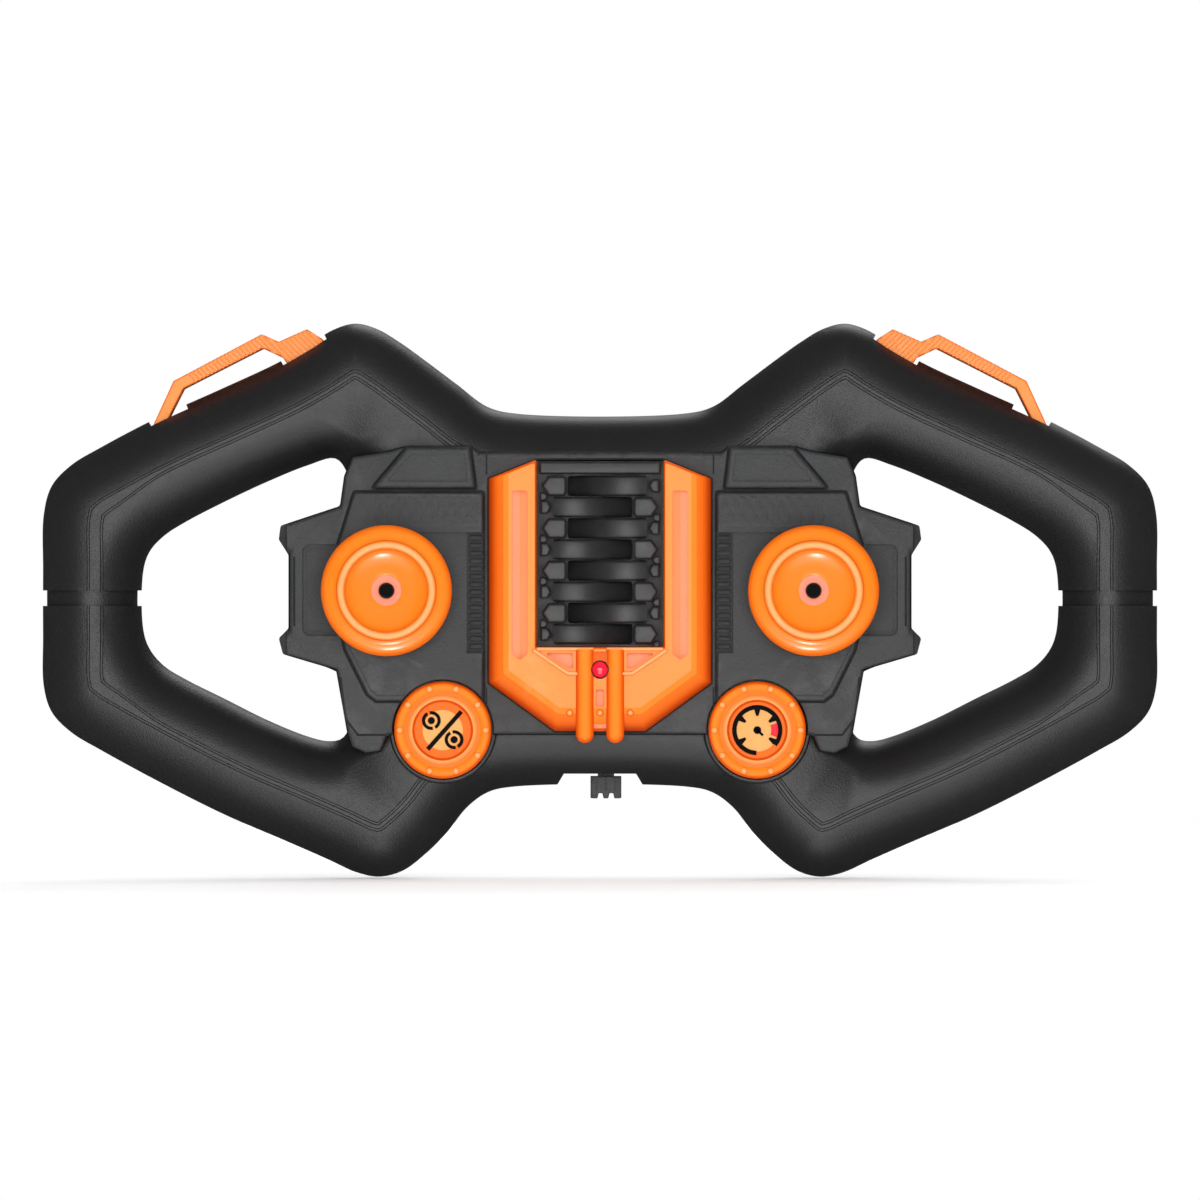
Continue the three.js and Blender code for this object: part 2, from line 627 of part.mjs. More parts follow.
// ---------------------------------------------------------------- shoulder keys
const KEY_SECTION = [ // [along the handle edge, out of it]
  [-0.3, -4.5], [-0.3, 0], [7.1, 5.9], [26.5, 6.3], [28.8, 3.5], [34.8, 3.2],
  [36.6, 0.2], [36.4, -4.5], [35.2, -6], [32.8, -6], [28.6, -3.2], [28.1, 0.4],
  [25.5, 3.76], [8.2, 3.7], [2.4, -0.6], [2.2, -4.5],
];
const [leftKey, rightKey] = both(
  cut(
    prism(KEY_SECTION.map(onEdge), around(KEY_HALF_WIDTH)),
    rod(keyPinPlace, KEY_PIN_R + 0.12, around(8), 12),
  ),
);
put("left_trigger", leftKey, "orange", group("left_trigger_body"));
put("right_trigger", rightKey, "orange", group("right_trigger_body"));
putBoth("trigger_pin", rod(keyPinPlace, KEY_PIN_R, around(7.2), 12), "steel");

const keySwitch = join(
  edgeBlock([-0.6, 4.6], [-12.4, -8.6], [-2.6, 3]),
  edgeBlock([0.4, 2.2], [-9, -7.0], around(1)),
);
putBoth("trigger_switch", keySwitch, "dark");

const LEAD_PATH = [ // [x, y, z], from the left key switch to the board
  [-76.4, -3.5, 27.5], [-70, -4.5, 32], [-60, -4.5, 37], [-51, -4, 37.5],
  [-43, -4, 33], [-36, -4.5, 27], [-30.6, -4.5, 23],
];
putBoth("trigger_lead", solid(wireGeometry(LEAD_PATH, 0.8, 14, 5)), "wire");

// ---------------------------------------------------------------- batteries and cover
// The two cells lie along X, facing opposite ways.
function battery(side) {
  const half = BATTERY_LENGTH / 2;
  const profile = [ // [radius, place along the cell]
    [0, -half + 0.3], [4.8, -half + 0.3], [6.6, -half], [BATTERY_R, -half + 0.6],
    [BATTERY_R, half - 2.2], [6.4, half - 1.4], [2.7, half - 1.4], [2.7, half], [0, half],
  ];
  const geometry = new THREE.LatheGeometry(vectors(profile), 18);
  return solid(geometry.rotateZ((side * Math.PI) / 2).translate(0, BATTERY_Y, side * BATTERY_Z));
}
put("battery_upper", battery(1), "cell");
put("battery_lower", battery(-1), "cell");

// Contact plates at both ends, each with a solder tab; the left one carries two springs.
const [leftContact, rightContact] = both(
  join(
    box([-28.1, -27.6], [-1.4, 12], around(14)),
    box([-27.9, -27.2], [-3.3, -1], [-9, -6]),
  ),
);
const contactSpring = (z) =>
  solid(
    coilGeometry({
      x: -27.75, y: BATTERY_Y, z,
      length: 1.76, radius: 4.6, taper: 1.92, turns: 2, wireRadius: 0.3, steps: 22,
    }),
  );
put("battery_plate_contact", rightContact, "brass");
put(
  "battery_spring_contact",
  join(leftContact, contactSpring(BATTERY_Z), contactSpring(-BATTERY_Z)),
  "brass",
);

function batteryCover() {
  const { halfX, halfZ, floor, tongueHalfX, tongueBottom } = COVER_SEAT;
  const yRange = [floor + FIT, BACK_FACE];
  return cut(
    join(
      box(around(halfX - FIT), yRange, around(halfZ - FIT)),
      box(around(tongueHalfX - FIT), yRange, [tongueBottom + FIT, TONGUE_TOP]),
    ),
    rod(COVER_SCREW_PLACE, 1.5, [12, 16], 12),
    rod(COVER_SCREW_PLACE, 2.9, [14.2, 16], 16),
  );
}
const coverBody = group("battery_cover_body");
put("battery_cover", batteryCover(), "black", coverBody);
const coverScrew = join(
  rod(COVER_SCREW_PLACE, 2.5, [14.5, 15.4], 14),
  rod(COVER_SCREW_PLACE, 1.2, [6, 14.7], 10),
);
put("battery_cover_screw", coverScrew, "steel", coverBody);

controller.position.set(0, -BACK_FACE, 0);

export default controller;
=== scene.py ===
# A hand-held radio controller: a two-part housing with an opening at each side, two thumb
# sticks, two push buttons, two shoulder keys, and a battery bay on the back.
# It stands upright and faces -Y, with x to the right and z up; left is -x.
#
# Lengths are millimetres unless a name or comment says otherwise. Points are (x, fwd, z), and
# fwd runs towards the face (-Y) from the plane where the two shells part. Outlines are (x, z).
import math
import bmesh
import bpy
import numpy as np
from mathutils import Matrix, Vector, geometry


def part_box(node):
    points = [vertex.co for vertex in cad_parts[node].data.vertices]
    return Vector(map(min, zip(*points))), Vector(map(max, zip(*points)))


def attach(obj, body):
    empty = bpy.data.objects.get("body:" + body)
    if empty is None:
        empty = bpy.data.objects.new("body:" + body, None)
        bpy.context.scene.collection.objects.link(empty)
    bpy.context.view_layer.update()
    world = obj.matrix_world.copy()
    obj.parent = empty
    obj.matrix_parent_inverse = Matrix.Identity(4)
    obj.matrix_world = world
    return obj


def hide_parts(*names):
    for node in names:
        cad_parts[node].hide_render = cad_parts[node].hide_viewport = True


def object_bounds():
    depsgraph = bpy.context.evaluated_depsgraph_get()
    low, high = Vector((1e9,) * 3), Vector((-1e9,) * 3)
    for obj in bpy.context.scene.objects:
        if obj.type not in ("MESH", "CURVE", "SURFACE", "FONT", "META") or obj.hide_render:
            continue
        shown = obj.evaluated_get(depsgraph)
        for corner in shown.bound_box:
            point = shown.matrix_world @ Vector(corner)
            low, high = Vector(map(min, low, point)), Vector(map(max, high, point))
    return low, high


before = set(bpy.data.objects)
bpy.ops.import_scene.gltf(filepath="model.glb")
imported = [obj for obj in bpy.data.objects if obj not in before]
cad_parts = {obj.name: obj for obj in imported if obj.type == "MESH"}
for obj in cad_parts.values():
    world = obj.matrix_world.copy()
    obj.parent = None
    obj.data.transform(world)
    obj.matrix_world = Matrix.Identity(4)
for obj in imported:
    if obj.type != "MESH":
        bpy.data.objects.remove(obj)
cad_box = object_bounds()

scene = bpy.context.scene


# ------------------------------------------------------------------ driving sizes
def box_centre(node):
    low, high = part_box(node)
    return ((low.x + high.x) * 500.0, (low.z + high.z) * 500.0)


SHELL_GAP = 0.15  # from the parting plane to the edge of each shell
PART_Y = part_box("front_shell")[1].y * 1000.0 + SHELL_GAP
MID_X = box_centre("front_shell")[0]
BAY_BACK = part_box("battery_cover")[1].y * 1000.0 - PART_Y  # outside of the back

STICKS = {"left": (-41.2, 1.85), "right": (41.2, 1.85)}
BUTTONS = {side: box_centre(f"{side}_button_cap") for side in ("left", "right")}
STICK_WELL_R = 9.6
BUTTON_R = 9.4
COLLAR_R = BUTTON_R + 1.0
PIVOT_FWD = 1.0  # stick pivots
LAMP_AT = (0, -13.4)
LAMP_HOLE_R = 1.8
WINDOW = (-12.2, 12.2, -8.9, 27.2)  # left, right, low, high of the opening for the insert
PLATE_BACK = 13.3  # rear face of the plates laid on the console

DEPTH = 11.0  # crown of each shell
BAND = 1.0  # straight side of a shell, before its rounding starts
ROUND = 10.0  # width of that rounding
WALL = 2.2
HOLLOW_ROUND = ROUND - 2.4
RING_DEPTH = 0.8  # ring grooves round the two ends of the housing
GROOVE_STEP = 0.16  # a crown groove is four steps wide, and its floor is two
GROOVE_DEPTH = 0.24

BEYOND = 30.0  # where cutters that open forwards end
CUTTER_WELD = 1e-6  # metres
SMOOTH = 32  # usual sharp-edge angle, degrees


# ------------------------------------------------------------------ mesh helpers
def to_metres(points):
    """(x, fwd, z) in millimetres to frame metres."""
    pts = np.asarray(points, float)
    columns = (pts[:, 0] + MID_X, PART_Y - pts[:, 1], pts[:, 2])
    return np.stack([column / 1000.0 for column in columns], 1)


class Shape:
    """Vertices (x, fwd, z) and faces being gathered into one mesh."""

    def __init__(self):
        self.verts = []
        self.faces = []

    def add(self, points):
        start = len(self.verts)
        self.verts.extend([tuple(map(float, point)) for point in points])
        return list(range(start, len(self.verts)))

    def merge(self, other):
        start = len(self.verts)
        self.verts.extend(other.verts)
        self.faces.extend([tuple(i + start for i in face) for face in other.faces])


def make(name, shape, weld=1e-7):
    """Object from a Shape, with outward normals; weld is in metres."""
    mesh = bpy.data.meshes.new(name)
    mesh.from_pydata(to_metres(shape.verts).tolist(), [], shape.faces)
    bm = bmesh.new()
    bm.from_mesh(mesh)
    bmesh.ops.remove_doubles(bm, verts=bm.verts, dist=weld)
    bmesh.ops.dissolve_degenerate(bm, dist=1e-8, edges=bm.edges)
    bmesh.ops.recalc_face_normals(bm, faces=bm.faces)
    if bm.calc_volume(signed=True) < 0:
        bmesh.ops.reverse_faces(bm, faces=bm.faces)
    bm.to_mesh(mesh)
    bm.free()
    obj = bpy.data.objects.new(name, mesh)
    scene.collection.objects.link(obj)
    return obj


def shade(obj, angle=SMOOTH):
    obj.data.shade_smooth()
    obj.data.set_sharp_from_angle(angle=math.radians(angle))


def solved(obj, tool, operation, solver):
    """Mesh of the object after one boolean."""
    modifier = obj.modifiers.new("boolean", "BOOLEAN")
    modifier.operation = operation
    modifier.solver = solver
    modifier.object = tool
    graph = bpy.context.evaluated_depsgraph_get()
    mesh = bpy.data.meshes.new_from_object(obj.evaluated_get(graph))
    obj.modifiers.clear()
    return mesh


def boolean(obj, tools, operation):
    """Applies closed tools (Shapes or objects) one by one, and uses them up."""
    for tool in tools:
        if isinstance(tool, Shape):
            tool = make("cutter", tool, CUTTER_WELD)
        mesh = solved(obj, tool, operation, "MANIFOLD")
        if len(mesh.polygons) == 0:  # the manifold solver refuses a mesh that isn't closed
            mesh = solved(obj, tool, operation, "EXACT")
        old = obj.data
        obj.data = mesh
        mesh.name = old.name
        bpy.data.meshes.remove(old)
        tool_mesh = tool.data
        bpy.data.objects.remove(tool)
        bpy.data.meshes.remove(tool_mesh)
    return obj


def cut(obj, *tools):
    return boolean(obj, tools, "DIFFERENCE")


def join(obj, *tools):
    return boolean(obj, tools, "UNION")


def mirror_object(obj, name):
    mesh = obj.data.copy()
    mesh.name = name
    coords = np.empty(len(mesh.vertices) * 3, np.float32)
    mesh.vertices.foreach_get("co", coords)
    coords[0::3] = 2 * MID_X / 1000.0 - coords[0::3]
    mesh.vertices.foreach_set("co", coords)
    mesh.flip_normals()
    new = bpy.data.objects.new(name, mesh)
    scene.collection.objects.link(new)
    return new


# ------------------------------------------------------------------ outlines
def mirrored(points):
    """The other half, in the order that carries the outline on."""
    return [(-x, z) for x, z in reversed(points)]


def sided(points, side):
    """Points drawn for the left, moved to the right where side is 1."""
    return [(-side * x, z) for x, z in points]


def rect(left, right, low, high):
    return [(left, low), (right, low), (right, high), (left, high)]


def circle(centre, radius, segs):
    angles = [2 * math.pi * k / segs for k in range(segs)]
    return [(centre[0] + radius * math.cos(a), centre[1] + radius * math.sin(a)) for a in angles]


def ccw(outline):
    """The outline in counter-clockwise order."""
    pts = np.asarray(outline, float)
    x, z = pts[:, 0], pts[:, 1]
    area = np.sum(x * np.roll(z, -1) - np.roll(x, -1) * z)
    return list(outline) if area > 0 else list(reversed(outline))


def offset(outline, inset):
    """Moves each edge of a counter-clockwise outline inwards by its own distance."""
    pts = np.asarray(outline, float)
    inset = np.broadcast_to(np.asarray(inset, float), len(pts))
    edges = np.roll(pts, -1, 0) - pts
    edges /= np.maximum(np.linalg.norm(edges, axis=1, keepdims=True), 1e-12)
    normals = np.stack([-edges[:, 1], edges[:, 0]], 1)
    out = []
    for i, point in enumerate(pts):
        before, after = normals[i - 1], normals[i]
        dist_a, dist_b = inset[i - 1], inset[i]
        det = before[0] * after[1] - before[1] * after[0]
        if abs(det) < 1e-4:
            out.append(tuple(point + (before * dist_a + after * dist_b) / 2))
        else:
            x = (dist_a * after[1] - dist_b * before[1]) / det
            z = (before[0] * dist_b - after[0] * dist_a) / det
            out.append(tuple(point + np.array([x, z])))
    return out


def fillet(outline, radius, segs=4):
    """Rounds each corner; every corner gives segs + 1 points, so rings match."""
    pts = np.asarray(outline, float)
    out = []
    for i, corner in enumerate(pts):
        before, after = pts[i - 1] - corner, pts[(i + 1) % len(pts)] - corner
        len_a, len_b = np.linalg.norm(before), np.linalg.norm(after)
        before, after = before / len_a, after / len_b
        half = math.acos(np.clip(np.dot(before, after), -1, 1)) / 2
        reach = min(radius / max(math.tan(half), 1e-6), 0.48 * len_a, 0.48 * len_b)
        arc_r = reach * math.tan(half)
        if arc_r < 1e-4 or half > math.pi / 2 - 0.01:
            out += [tuple(corner)] * (segs + 1)
            continue
        middle = before + after
        middle /= np.linalg.norm(middle)
        centre = corner + middle * (arc_r / math.sin(half))
        start, end = corner + before * reach - centre, corner + after * reach - centre
        angle = math.atan2(start[1], start[0])
        turn = math.atan2(end[1], end[0]) - angle
        turn = (turn + math.pi) % (2 * math.pi) - math.pi
        for k in range(segs + 1):
            a = angle + turn * k / segs
            out.append((centre[0] + arc_r * math.cos(a), centre[1] + arc_r * math.sin(a)))
    return out


def strip(points, half):
    """Closed outline of a line that is 2 * half wide."""
    pts = np.asarray(points, float)
    last = len(pts) - 1
    left, right = [], []
    for i, point in enumerate(pts):
        into = point - pts[i - 1] if i > 0 else pts[1] - point
        onward = pts[i + 1] - point if i < last else point - pts[i - 1]
        into, onward = into / np.linalg.norm(into), onward / np.linalg.norm(onward)
        normal = np.array([-into[1], into[0]])
        mitre = normal + np.array([-onward[1], onward[0]])
        mitre /= np.linalg.norm(mitre)
        reach = half / max(0.35, float(np.dot(mitre, normal)))
        left.append(tuple(point + mitre * reach))
        right.append(tuple(point - mitre * reach))
    return ccw(left + right[::-1])


# ------------------------------------------------------------------ solids
def at_level(outline, fwd):
    return [(x, fwd, z) for x, z in outline]


def loft(rings, capped=True):
    """Joins rings of equal length."""
    shape = Shape()
    ids = [shape.add(ring) for ring in rings]
    count = len(ids[0])
    for near, far in zip(ids, ids[1:]):
        for i in range(count):
            j = (i + 1) % count
            shape.faces.append((near[i], near[j], far[j], far[i]))
    if capped:
        shape.faces += [tuple(reversed(ids[0])), tuple(ids[-1])]
    return shape


def prism(outline, back, front=BEYOND):
    outline = ccw(outline)
    return loft([at_level(outline, back), at_level(outline, front)])


def block(left, right, back, front, low, high):
    return prism(rect(left, right, low, high), back, front)


def wedge(outline, floor_of):
    """Cutter with a sloping floor: floor_of(x, z) gives its fwd."""
    outline = ccw(outline)
    return loft([[(x, floor_of(x, z), z) for x, z in outline], at_level(outline, BEYOND)])


def groove(points, half, floor):
    return prism(strip(points, half), floor)


def quarter(bevel, drop, steps):
    """(inset, distance below the top) along a rounded edge, from the side up to the top."""
    angles = [math.pi / 2 * k / steps for k in range(steps + 1)]
    return [(bevel * (1 - math.cos(a)), drop * (1 - math.sin(a))) for a in angles]


def plate(outline, back, front, bevel, radius, steps=4, segs=4, drop=None, weigh=None):
    """A plate with a rounded front edge. weigh(x, z) scales the bevel at the middle of an edge."""
    outline = ccw(outline)
    weights = np.ones(len(outline))
    if weigh:
        pts = np.asarray(outline, float)
        weights = np.array([weigh(x, z) for x, z in (pts + np.roll(pts, -1, 0)) / 2])
    rings = [at_level(fillet(outline, radius, segs), back)]
    for inset, down in quarter(bevel, bevel if drop is None else drop, steps):
        ring = fillet(offset(outline, inset * weights), radius, segs)
        rings.append(at_level(ring, front - down))
    return loft(rings)


def round_ends(start, end, bevel, steps):
    """(inset, position) along a prism whose edges are rounded at both ends."""
    curve = quarter(bevel, bevel, steps)
    near = [(inset, start + down) for inset, down in reversed(curve)]
    return near + [(inset, end - down) for inset, down in curve]


def soft_prism(outline, back, front, bevel, radius, steps, segs):
    """A prism with rounded edges at both ends."""
    outline = ccw(outline)
    return loft([
        at_level(fillet(offset(outline, inset), radius, segs), fwd)
        for inset, fwd in round_ends(back, front, bevel, steps)
    ])


def turned(profile, centre, segs=96):
    """Revolves (radius, fwd) about the forward axis; closes on the axis or on itself."""
    rings = [at_level(circle(centre, radius, segs), fwd) for radius, fwd in profile]
    shape = loft(rings, capped=False)
    if profile[0] != profile[-1]:
        for ring in (0, len(rings) - 1):
            if profile[ring][0] > 1e-6:
                shape.faces.append(tuple(range(ring * segs, (ring + 1) * segs)))
    return shape


def cylinder(radius, back, front, centre, segs):
    return turned([(0, back), (radius, back), (radius, front), (0, front)], centre, segs)


def well(centre, radius, back, front, flare, segs=96):
    """Round cutter that opens out at its front end, which leaves a chamfered rim."""
    wide = radius + flare
    profile = [(radius, back), (radius, front - flare), (wide, front), (wide, front + 6)]
    return turned(profile, centre, segs)


def ball_cap(centre, radius, base, height, segs, rings, sink):
    """A low dome, closed behind."""
    profile = [(0, base - sink), (radius, base - sink), (radius, base)]
    for k in range(1, rings + 1):
        a = math.pi / 2 * k / rings
        across = radius * math.cos(a) if k < rings else 0.0
        profile.append((across, base + height * math.sin(a)))
    return turned(profile, centre, segs)


def towards_back(shape):
    """The same shape with fwd turned to the back."""
    out = Shape()
    out.verts = [(x, -fwd, z) for x, fwd, z in shape.verts]
    out.faces = [tuple(reversed(face)) for face in shape.faces]
    return out


# ------------------------------------------------------------------ housing outline
def lerp(t, start, end, first, second):
    return (end - t) / (end - start) * first + (t - start) / (end - start) * second


def spline(points, step=0.9, samples=24):
    """Closed centripetal Catmull-Rom curve through the points, resampled at an even step."""
    pts = np.asarray(points, float)
    curve = []
    for i in range(len(pts)):
        four = [pts[(i + k) % len(pts)] for k in (-1, 0, 1, 2)]
        knots = [0.0]
        for here, there in zip(four, four[1:]):
            knots.append(knots[-1] + max(np.linalg.norm(there - here), 1e-6) ** 0.5)
        for t in np.linspace(knots[1], knots[2], samples, endpoint=False):
            three = [lerp(t, knots[k], knots[k + 1], four[k], four[k + 1]) for k in range(3)]
            two = [lerp(t, knots[k], knots[k + 2], three[k], three[k + 1]) for k in range(2)]
            curve.append(lerp(t, knots[1], knots[2], *two))
    curve = np.array(curve)
    lengths = np.linalg.norm(np.roll(curve, -1, 0) - curve, axis=1)
    along = np.concatenate([[0], np.cumsum(lengths)])
    closed = np.vstack([curve, curve[:1]])
    even = np.linspace(0, along[-1], int(round(along[-1] / step)), endpoint=False)
    return np.stack([np.interp(even, along, closed[:, k]) for k in (0, 1)], 1)


# left half of the outside edge, (x, z), from the top middle round to the bottom middle
HALF_OUTLINE = [
    (-15.85, 36.25), (-21.85, 37.6), (-27.85, 42), (-33.85, 46.5), (-38.85, 50.1),
    (-43.35, 52.75), (-47.6, 53.8), (-51.85, 52.6), (-56.85, 49.5), (-62.85, 46.1),
    (-73.85, 41), (-85.85, 35.6), (-96.85, 29.85), (-102.85, 26.25), (-106.6, 22.25),
    (-108.15, 16.75), (-108.3, 5.75), (-108.3, -6.75), (-108.15, -16.75), (-106.6, -21.75),
    (-102.85, -25.65), (-96.85, -29.25), (-84.85, -35.75), (-72.85, -41.75), (-60.85, -46.9),
    (-52.85, -50.4), (-47.35, -52.9), (-42.85, -53.75), (-38.35, -52.6), (-33.85, -49.25),
    (-29.85, -45.25), (-25.85, -40.25), (-21.85, -37.35), (-16.85, -36.25),
]
# opening through the left side, (x, z)
HOLE = [
    (-88.85, 5.75), (-87.6, 9.5), (-84.85, 12.5), (-80.85, 15.1), (-72.85, 19.25),
    (-64.85, 23), (-56.85, 26.25), (-51.6, 27.6), (-49.6, 25.6), (-48.6, 19.75),
    (-59.6, 13.6), (-59.85, 11), (-59.85, -8), (-59.5, -10.2), (-48.9, -15.75),
    (-48.85, -24.9), (-50.4, -27), (-53, -27.4), (-56.85, -26.5), (-64.85, -23.25),
    (-72.85, -19.25), (-80.85, -15.25), (-84.85, -12.75), (-87.6, -9.5), (-88.85, -5.75),
]
# material lies to the left of every loop
LOOPS = [
    np.array(ccw(spline(HALF_OUTLINE + mirrored(HALF_OUTLINE)))),
    np.array(ccw(spline(HOLE)))[::-1],
    np.array(ccw(spline(mirrored(HOLE))))[::-1],
]


def loop_normals(loop):
    tangents = np.roll(loop, -1, 0) - np.roll(loop, 1, 0)
    tangents /= np.linalg.norm(tangents, axis=1, keepdims=True)
    return np.stack([-tangents[:, 1], tangents[:, 0]], 1)


def distance_to(points, loops, batch=2000):
    points = np.asarray(points, float)
    best = np.full(len(points), 1e9)
    for loop in loops:
        edges = np.roll(loop, -1, 0) - loop
        squares = np.sum(edges * edges, 1)
        for i in range(0, len(points), batch):
            rel = points[i : i + batch][:, None, :] - loop[None]
            t = np.clip(np.sum(rel * edges[None], 2) / squares[None], 0, 1)
            gap = rel - t[..., None] * edges[None]
            nearest = np.sqrt(np.min(np.sum(gap * gap, 2), 1))
            best[i : i + batch] = np.minimum(best[i : i + batch], nearest)
    return best


def inside(points, loops, batch=4000):
    points = np.asarray(points, float)
    odd = np.zeros(len(points), bool)
    for loop in loops:
        x_a, z_a = loop[:, 0], loop[:, 1]
        x_b, z_b = np.roll(x_a, -1), np.roll(z_a, -1)
        for i in range(0, len(points), batch):
            x, z = points[i : i + batch, :1], points[i : i + batch, 1:]
            spans = (z_a[None] > z) != (z_b[None] > z)
            with np.errstate(divide="ignore", invalid="ignore"):
                crossing = (x_b - x_a)[None] * (z - z_a[None]) / (z_b - z_a)[None] + x_a[None]
            odd[i : i + batch] ^= (np.sum(spans & (x < crossing), 1) % 2).astype(bool)
    return odd


def offset_points(loop, dist):
    """Points at a distance from a loop, and which of them lie nearer to no other edge."""
    points = loop + loop_normals(loop) * dist
    return points, distance_to(points, LOOPS) > dist - 2e-3 - 0.004 * dist


def inset_loops(dist):
    out = []
    for loop in LOOPS:
        points, clear = offset_points(loop, dist)
        out.append(points[clear])
    return out


def kept_lines(points, kept, longest=2.5):
    """Short lines between neighbouring points that are both kept."""
    kept = kept & inside(points, LOOPS)
    lines = []
    for i in range(len(points)):
        j = (i + 1) % len(points)
        if kept[i] and kept[j] and np.linalg.norm(points[j] - points[i]) < longest:
            lines.append((points[i], points[j]))
    return lines


def dome_lines(rounding, steps, start):
    """Level lines of a dome whose rounding begins at a distance from the edges."""
    lines = []
    for k in range(1, steps + 1):
        dist = start + rounding * (1 - math.cos(math.pi / 2 * k / steps))
        for loop in LOOPS:
            lines += kept_lines(*offset_points(loop, dist))
    return lines


def dome(dist, depth=DEPTH, band=BAND, rounding=ROUND):
    t = np.clip(1 - dist / rounding, 0, 1)
    return band + (depth - band) * np.sqrt(np.maximum(0, 1 - t * t))


def dome_height(points):
    return dome(distance_to(points, LOOPS))


def crown_inset(points, which):
    """Distance of a crown groove from the outside edge; the second one swings further away
    from it near the two ends."""
    points = np.asarray(points, float)
    if which == 0:
        return np.full(len(points), 9.2)
    t = np.clip((np.abs(points[:, 0]) - 84.0) / 12.0, 0, 1)
    return 10.4 + 1.4 * t * t * (3 - 2 * t)


def crown_lines(which, extra):
    """Lines along a crown groove, settled by a few rounds since its inset varies."""
    outer, normals = LOOPS[0], loop_normals(LOOPS[0])
    points = outer + normals * 9.0
    for _ in range(6):
        dists = crown_inset(points, which) + extra
        points = outer + normals * dists[:, None]
    return kept_lines(points, distance_to(points, [outer]) > dists - 0.02 - 0.006 * dists)


def front_height(points):
    """The dome with its two crown grooves, which stop below the console."""
    height = dome_height(points)
    from_edge = distance_to(points, LOOPS[:1])
    points = np.asarray(points, float)
    fade = np.clip((np.abs(points[:, 0]) - 26.0) / 3.0, 0, 1)
    reach = np.where(points[:, 1] < 0, fade, 1.0)
    for which in (0, 1):
        off_line = np.abs(from_edge - crown_inset(points, which))
        slope = np.clip((2 * GROOVE_STEP - off_line) / GROOVE_STEP, 0, 1)
        height -= GROOVE_DEPTH * reach * slope
    return height


# ------------------------------------------------------------------ height solids
def triangulated(loops, segments):
    """Constrained Delaunay over the region, with extra line segments as edges."""
    index, verts, edges = {}, [], set()

    def vertex(point):
        x, z = float(point[0]), float(point[1])
        key = (round(x, 3), round(z, 3))
        if key not in index:
            index[key] = len(verts)
            verts.append(Vector((x, z)))
        return index[key]

    sides = [pair for loop in loops for pair in zip(loop, np.roll(loop, -1, 0))]
    for start, end in sides + segments:
        i, j = vertex(start), vertex(end)
        if i != j:
            edges.add((min(i, j), max(i, j)))
    result = geometry.delaunay_2d_cdt(verts, sorted(edges), [], 0, 1e-5, False)
    pts = np.array([(vert.x, vert.y) for vert in result[0]])
    tris = np.array([face for face in result[2] if len(face) == 3])
    tris = tris[inside(pts[tris].mean(1), loops)]
    side_a = pts[tris[:, 1]] - pts[tris[:, 0]]
    side_b = pts[tris[:, 2]] - pts[tris[:, 0]]
    clockwise = side_a[:, 0] * side_b[:, 1] - side_b[:, 0] * side_a[:, 1] < 0
    tris[clockwise] = tris[clockwise][:, ::-1]
    return pts, tris


def height_solid(loops, segments, height, floor, sign=1.0, name="cutter"):
    """Closed solid between a height surface and a flat floor. Sign -1 builds it backwards."""
    pts, tris = triangulated(loops, segments)
    used = np.unique(tris)
    remap = -np.ones(len(pts), int)
    remap[used] = np.arange(len(used))
    pts, tris = pts[used], remap[tris]
    shape = Shape()
    top = shape.add([(x, sign * up, z) for (x, z), up in zip(pts, height(pts))])
    low = shape.add([(x, sign * floor, z) for x, z in pts])
    edges = {}  # keeps the order in which edges are met
    for i, j, k in tris:
        edges.update({(i, j): True, (j, k): True, (k, i): True})
        shape.faces.append((top[i], top[j], top[k]))
        shape.faces.append((low[k], low[j], low[i]))
    for i, j in edges:
        if (j, i) not in edges:
            shape.faces.append((top[j], top[i], low[i], low[j]))
    return make(name, shape)


def inner_solid(inset, depth, band, rounding, steps, floor, sign):
    """A smaller dome whose edge lies inset from the housing's."""

    def height(points):
        dist = np.maximum(distance_to(points, LOOPS) - inset, 0)
        return dome(dist, depth, band, rounding)

    lines = dome_lines(rounding, steps, inset)
    return height_solid(inset_loops(inset), lines, height, floor, sign)


def flat_solid(inset, back, front):
    return height_solid(inset_loops(inset), [], lambda pts: np.full(len(pts), front), back)


# ------------------------------------------------------------------ shader helpers
def add_node(tree, kind, values=None):
    node = tree.nodes.new("ShaderNode" + kind)
    set_inputs(node, values or {})
    return node


def set_inputs(node, values):
    for name, value in values.items():
        node.inputs[name].default_value = value


def feed(tree, value, socket):
    """Sets a socket to a number or a colour, or links an output to it."""
    if isinstance(value, (int, float)):
        socket.default_value = value
    elif isinstance(value, tuple):
        socket.default_value = (*value, 1.0)
    else:
        tree.links.new(value, socket)


def new_material(name):
    material = bpy.data.materials.new(name)
    material.use_nodes = True
    tree = material.node_tree
    tree.nodes.clear()
    output = add_node(tree, "OutputMaterial")
    shader = add_node(tree, "BsdfPrincipled")
    tree.links.new(shader.outputs[0], output.inputs[0])
    return material, tree, shader


def object_coords(tree):
    return add_node(tree, "TexCoord").outputs["Object"]


def noise(tree, coord, scale, detail=3.0, rough=0.55, distortion=0.0):
    node = add_node(tree, "TexNoise", {
        "Scale": scale, "Detail": detail, "Roughness": rough, "Distortion": distortion,
    })
    tree.links.new(coord, node.inputs["Vector"])
    return node.outputs["Fac"]


def ramp(tree, factor, start, end):
    """Black up to start, white from end."""
    node = add_node(tree, "ValToRGB")
    stops = zip(node.color_ramp.elements, (start, end), (0, 1))
    for element, position, level in stops:
        element.position = position
        element.color = (level, level, level, 1.0)
    tree.links.new(factor, node.inputs[0])
    return node.outputs["Color"]


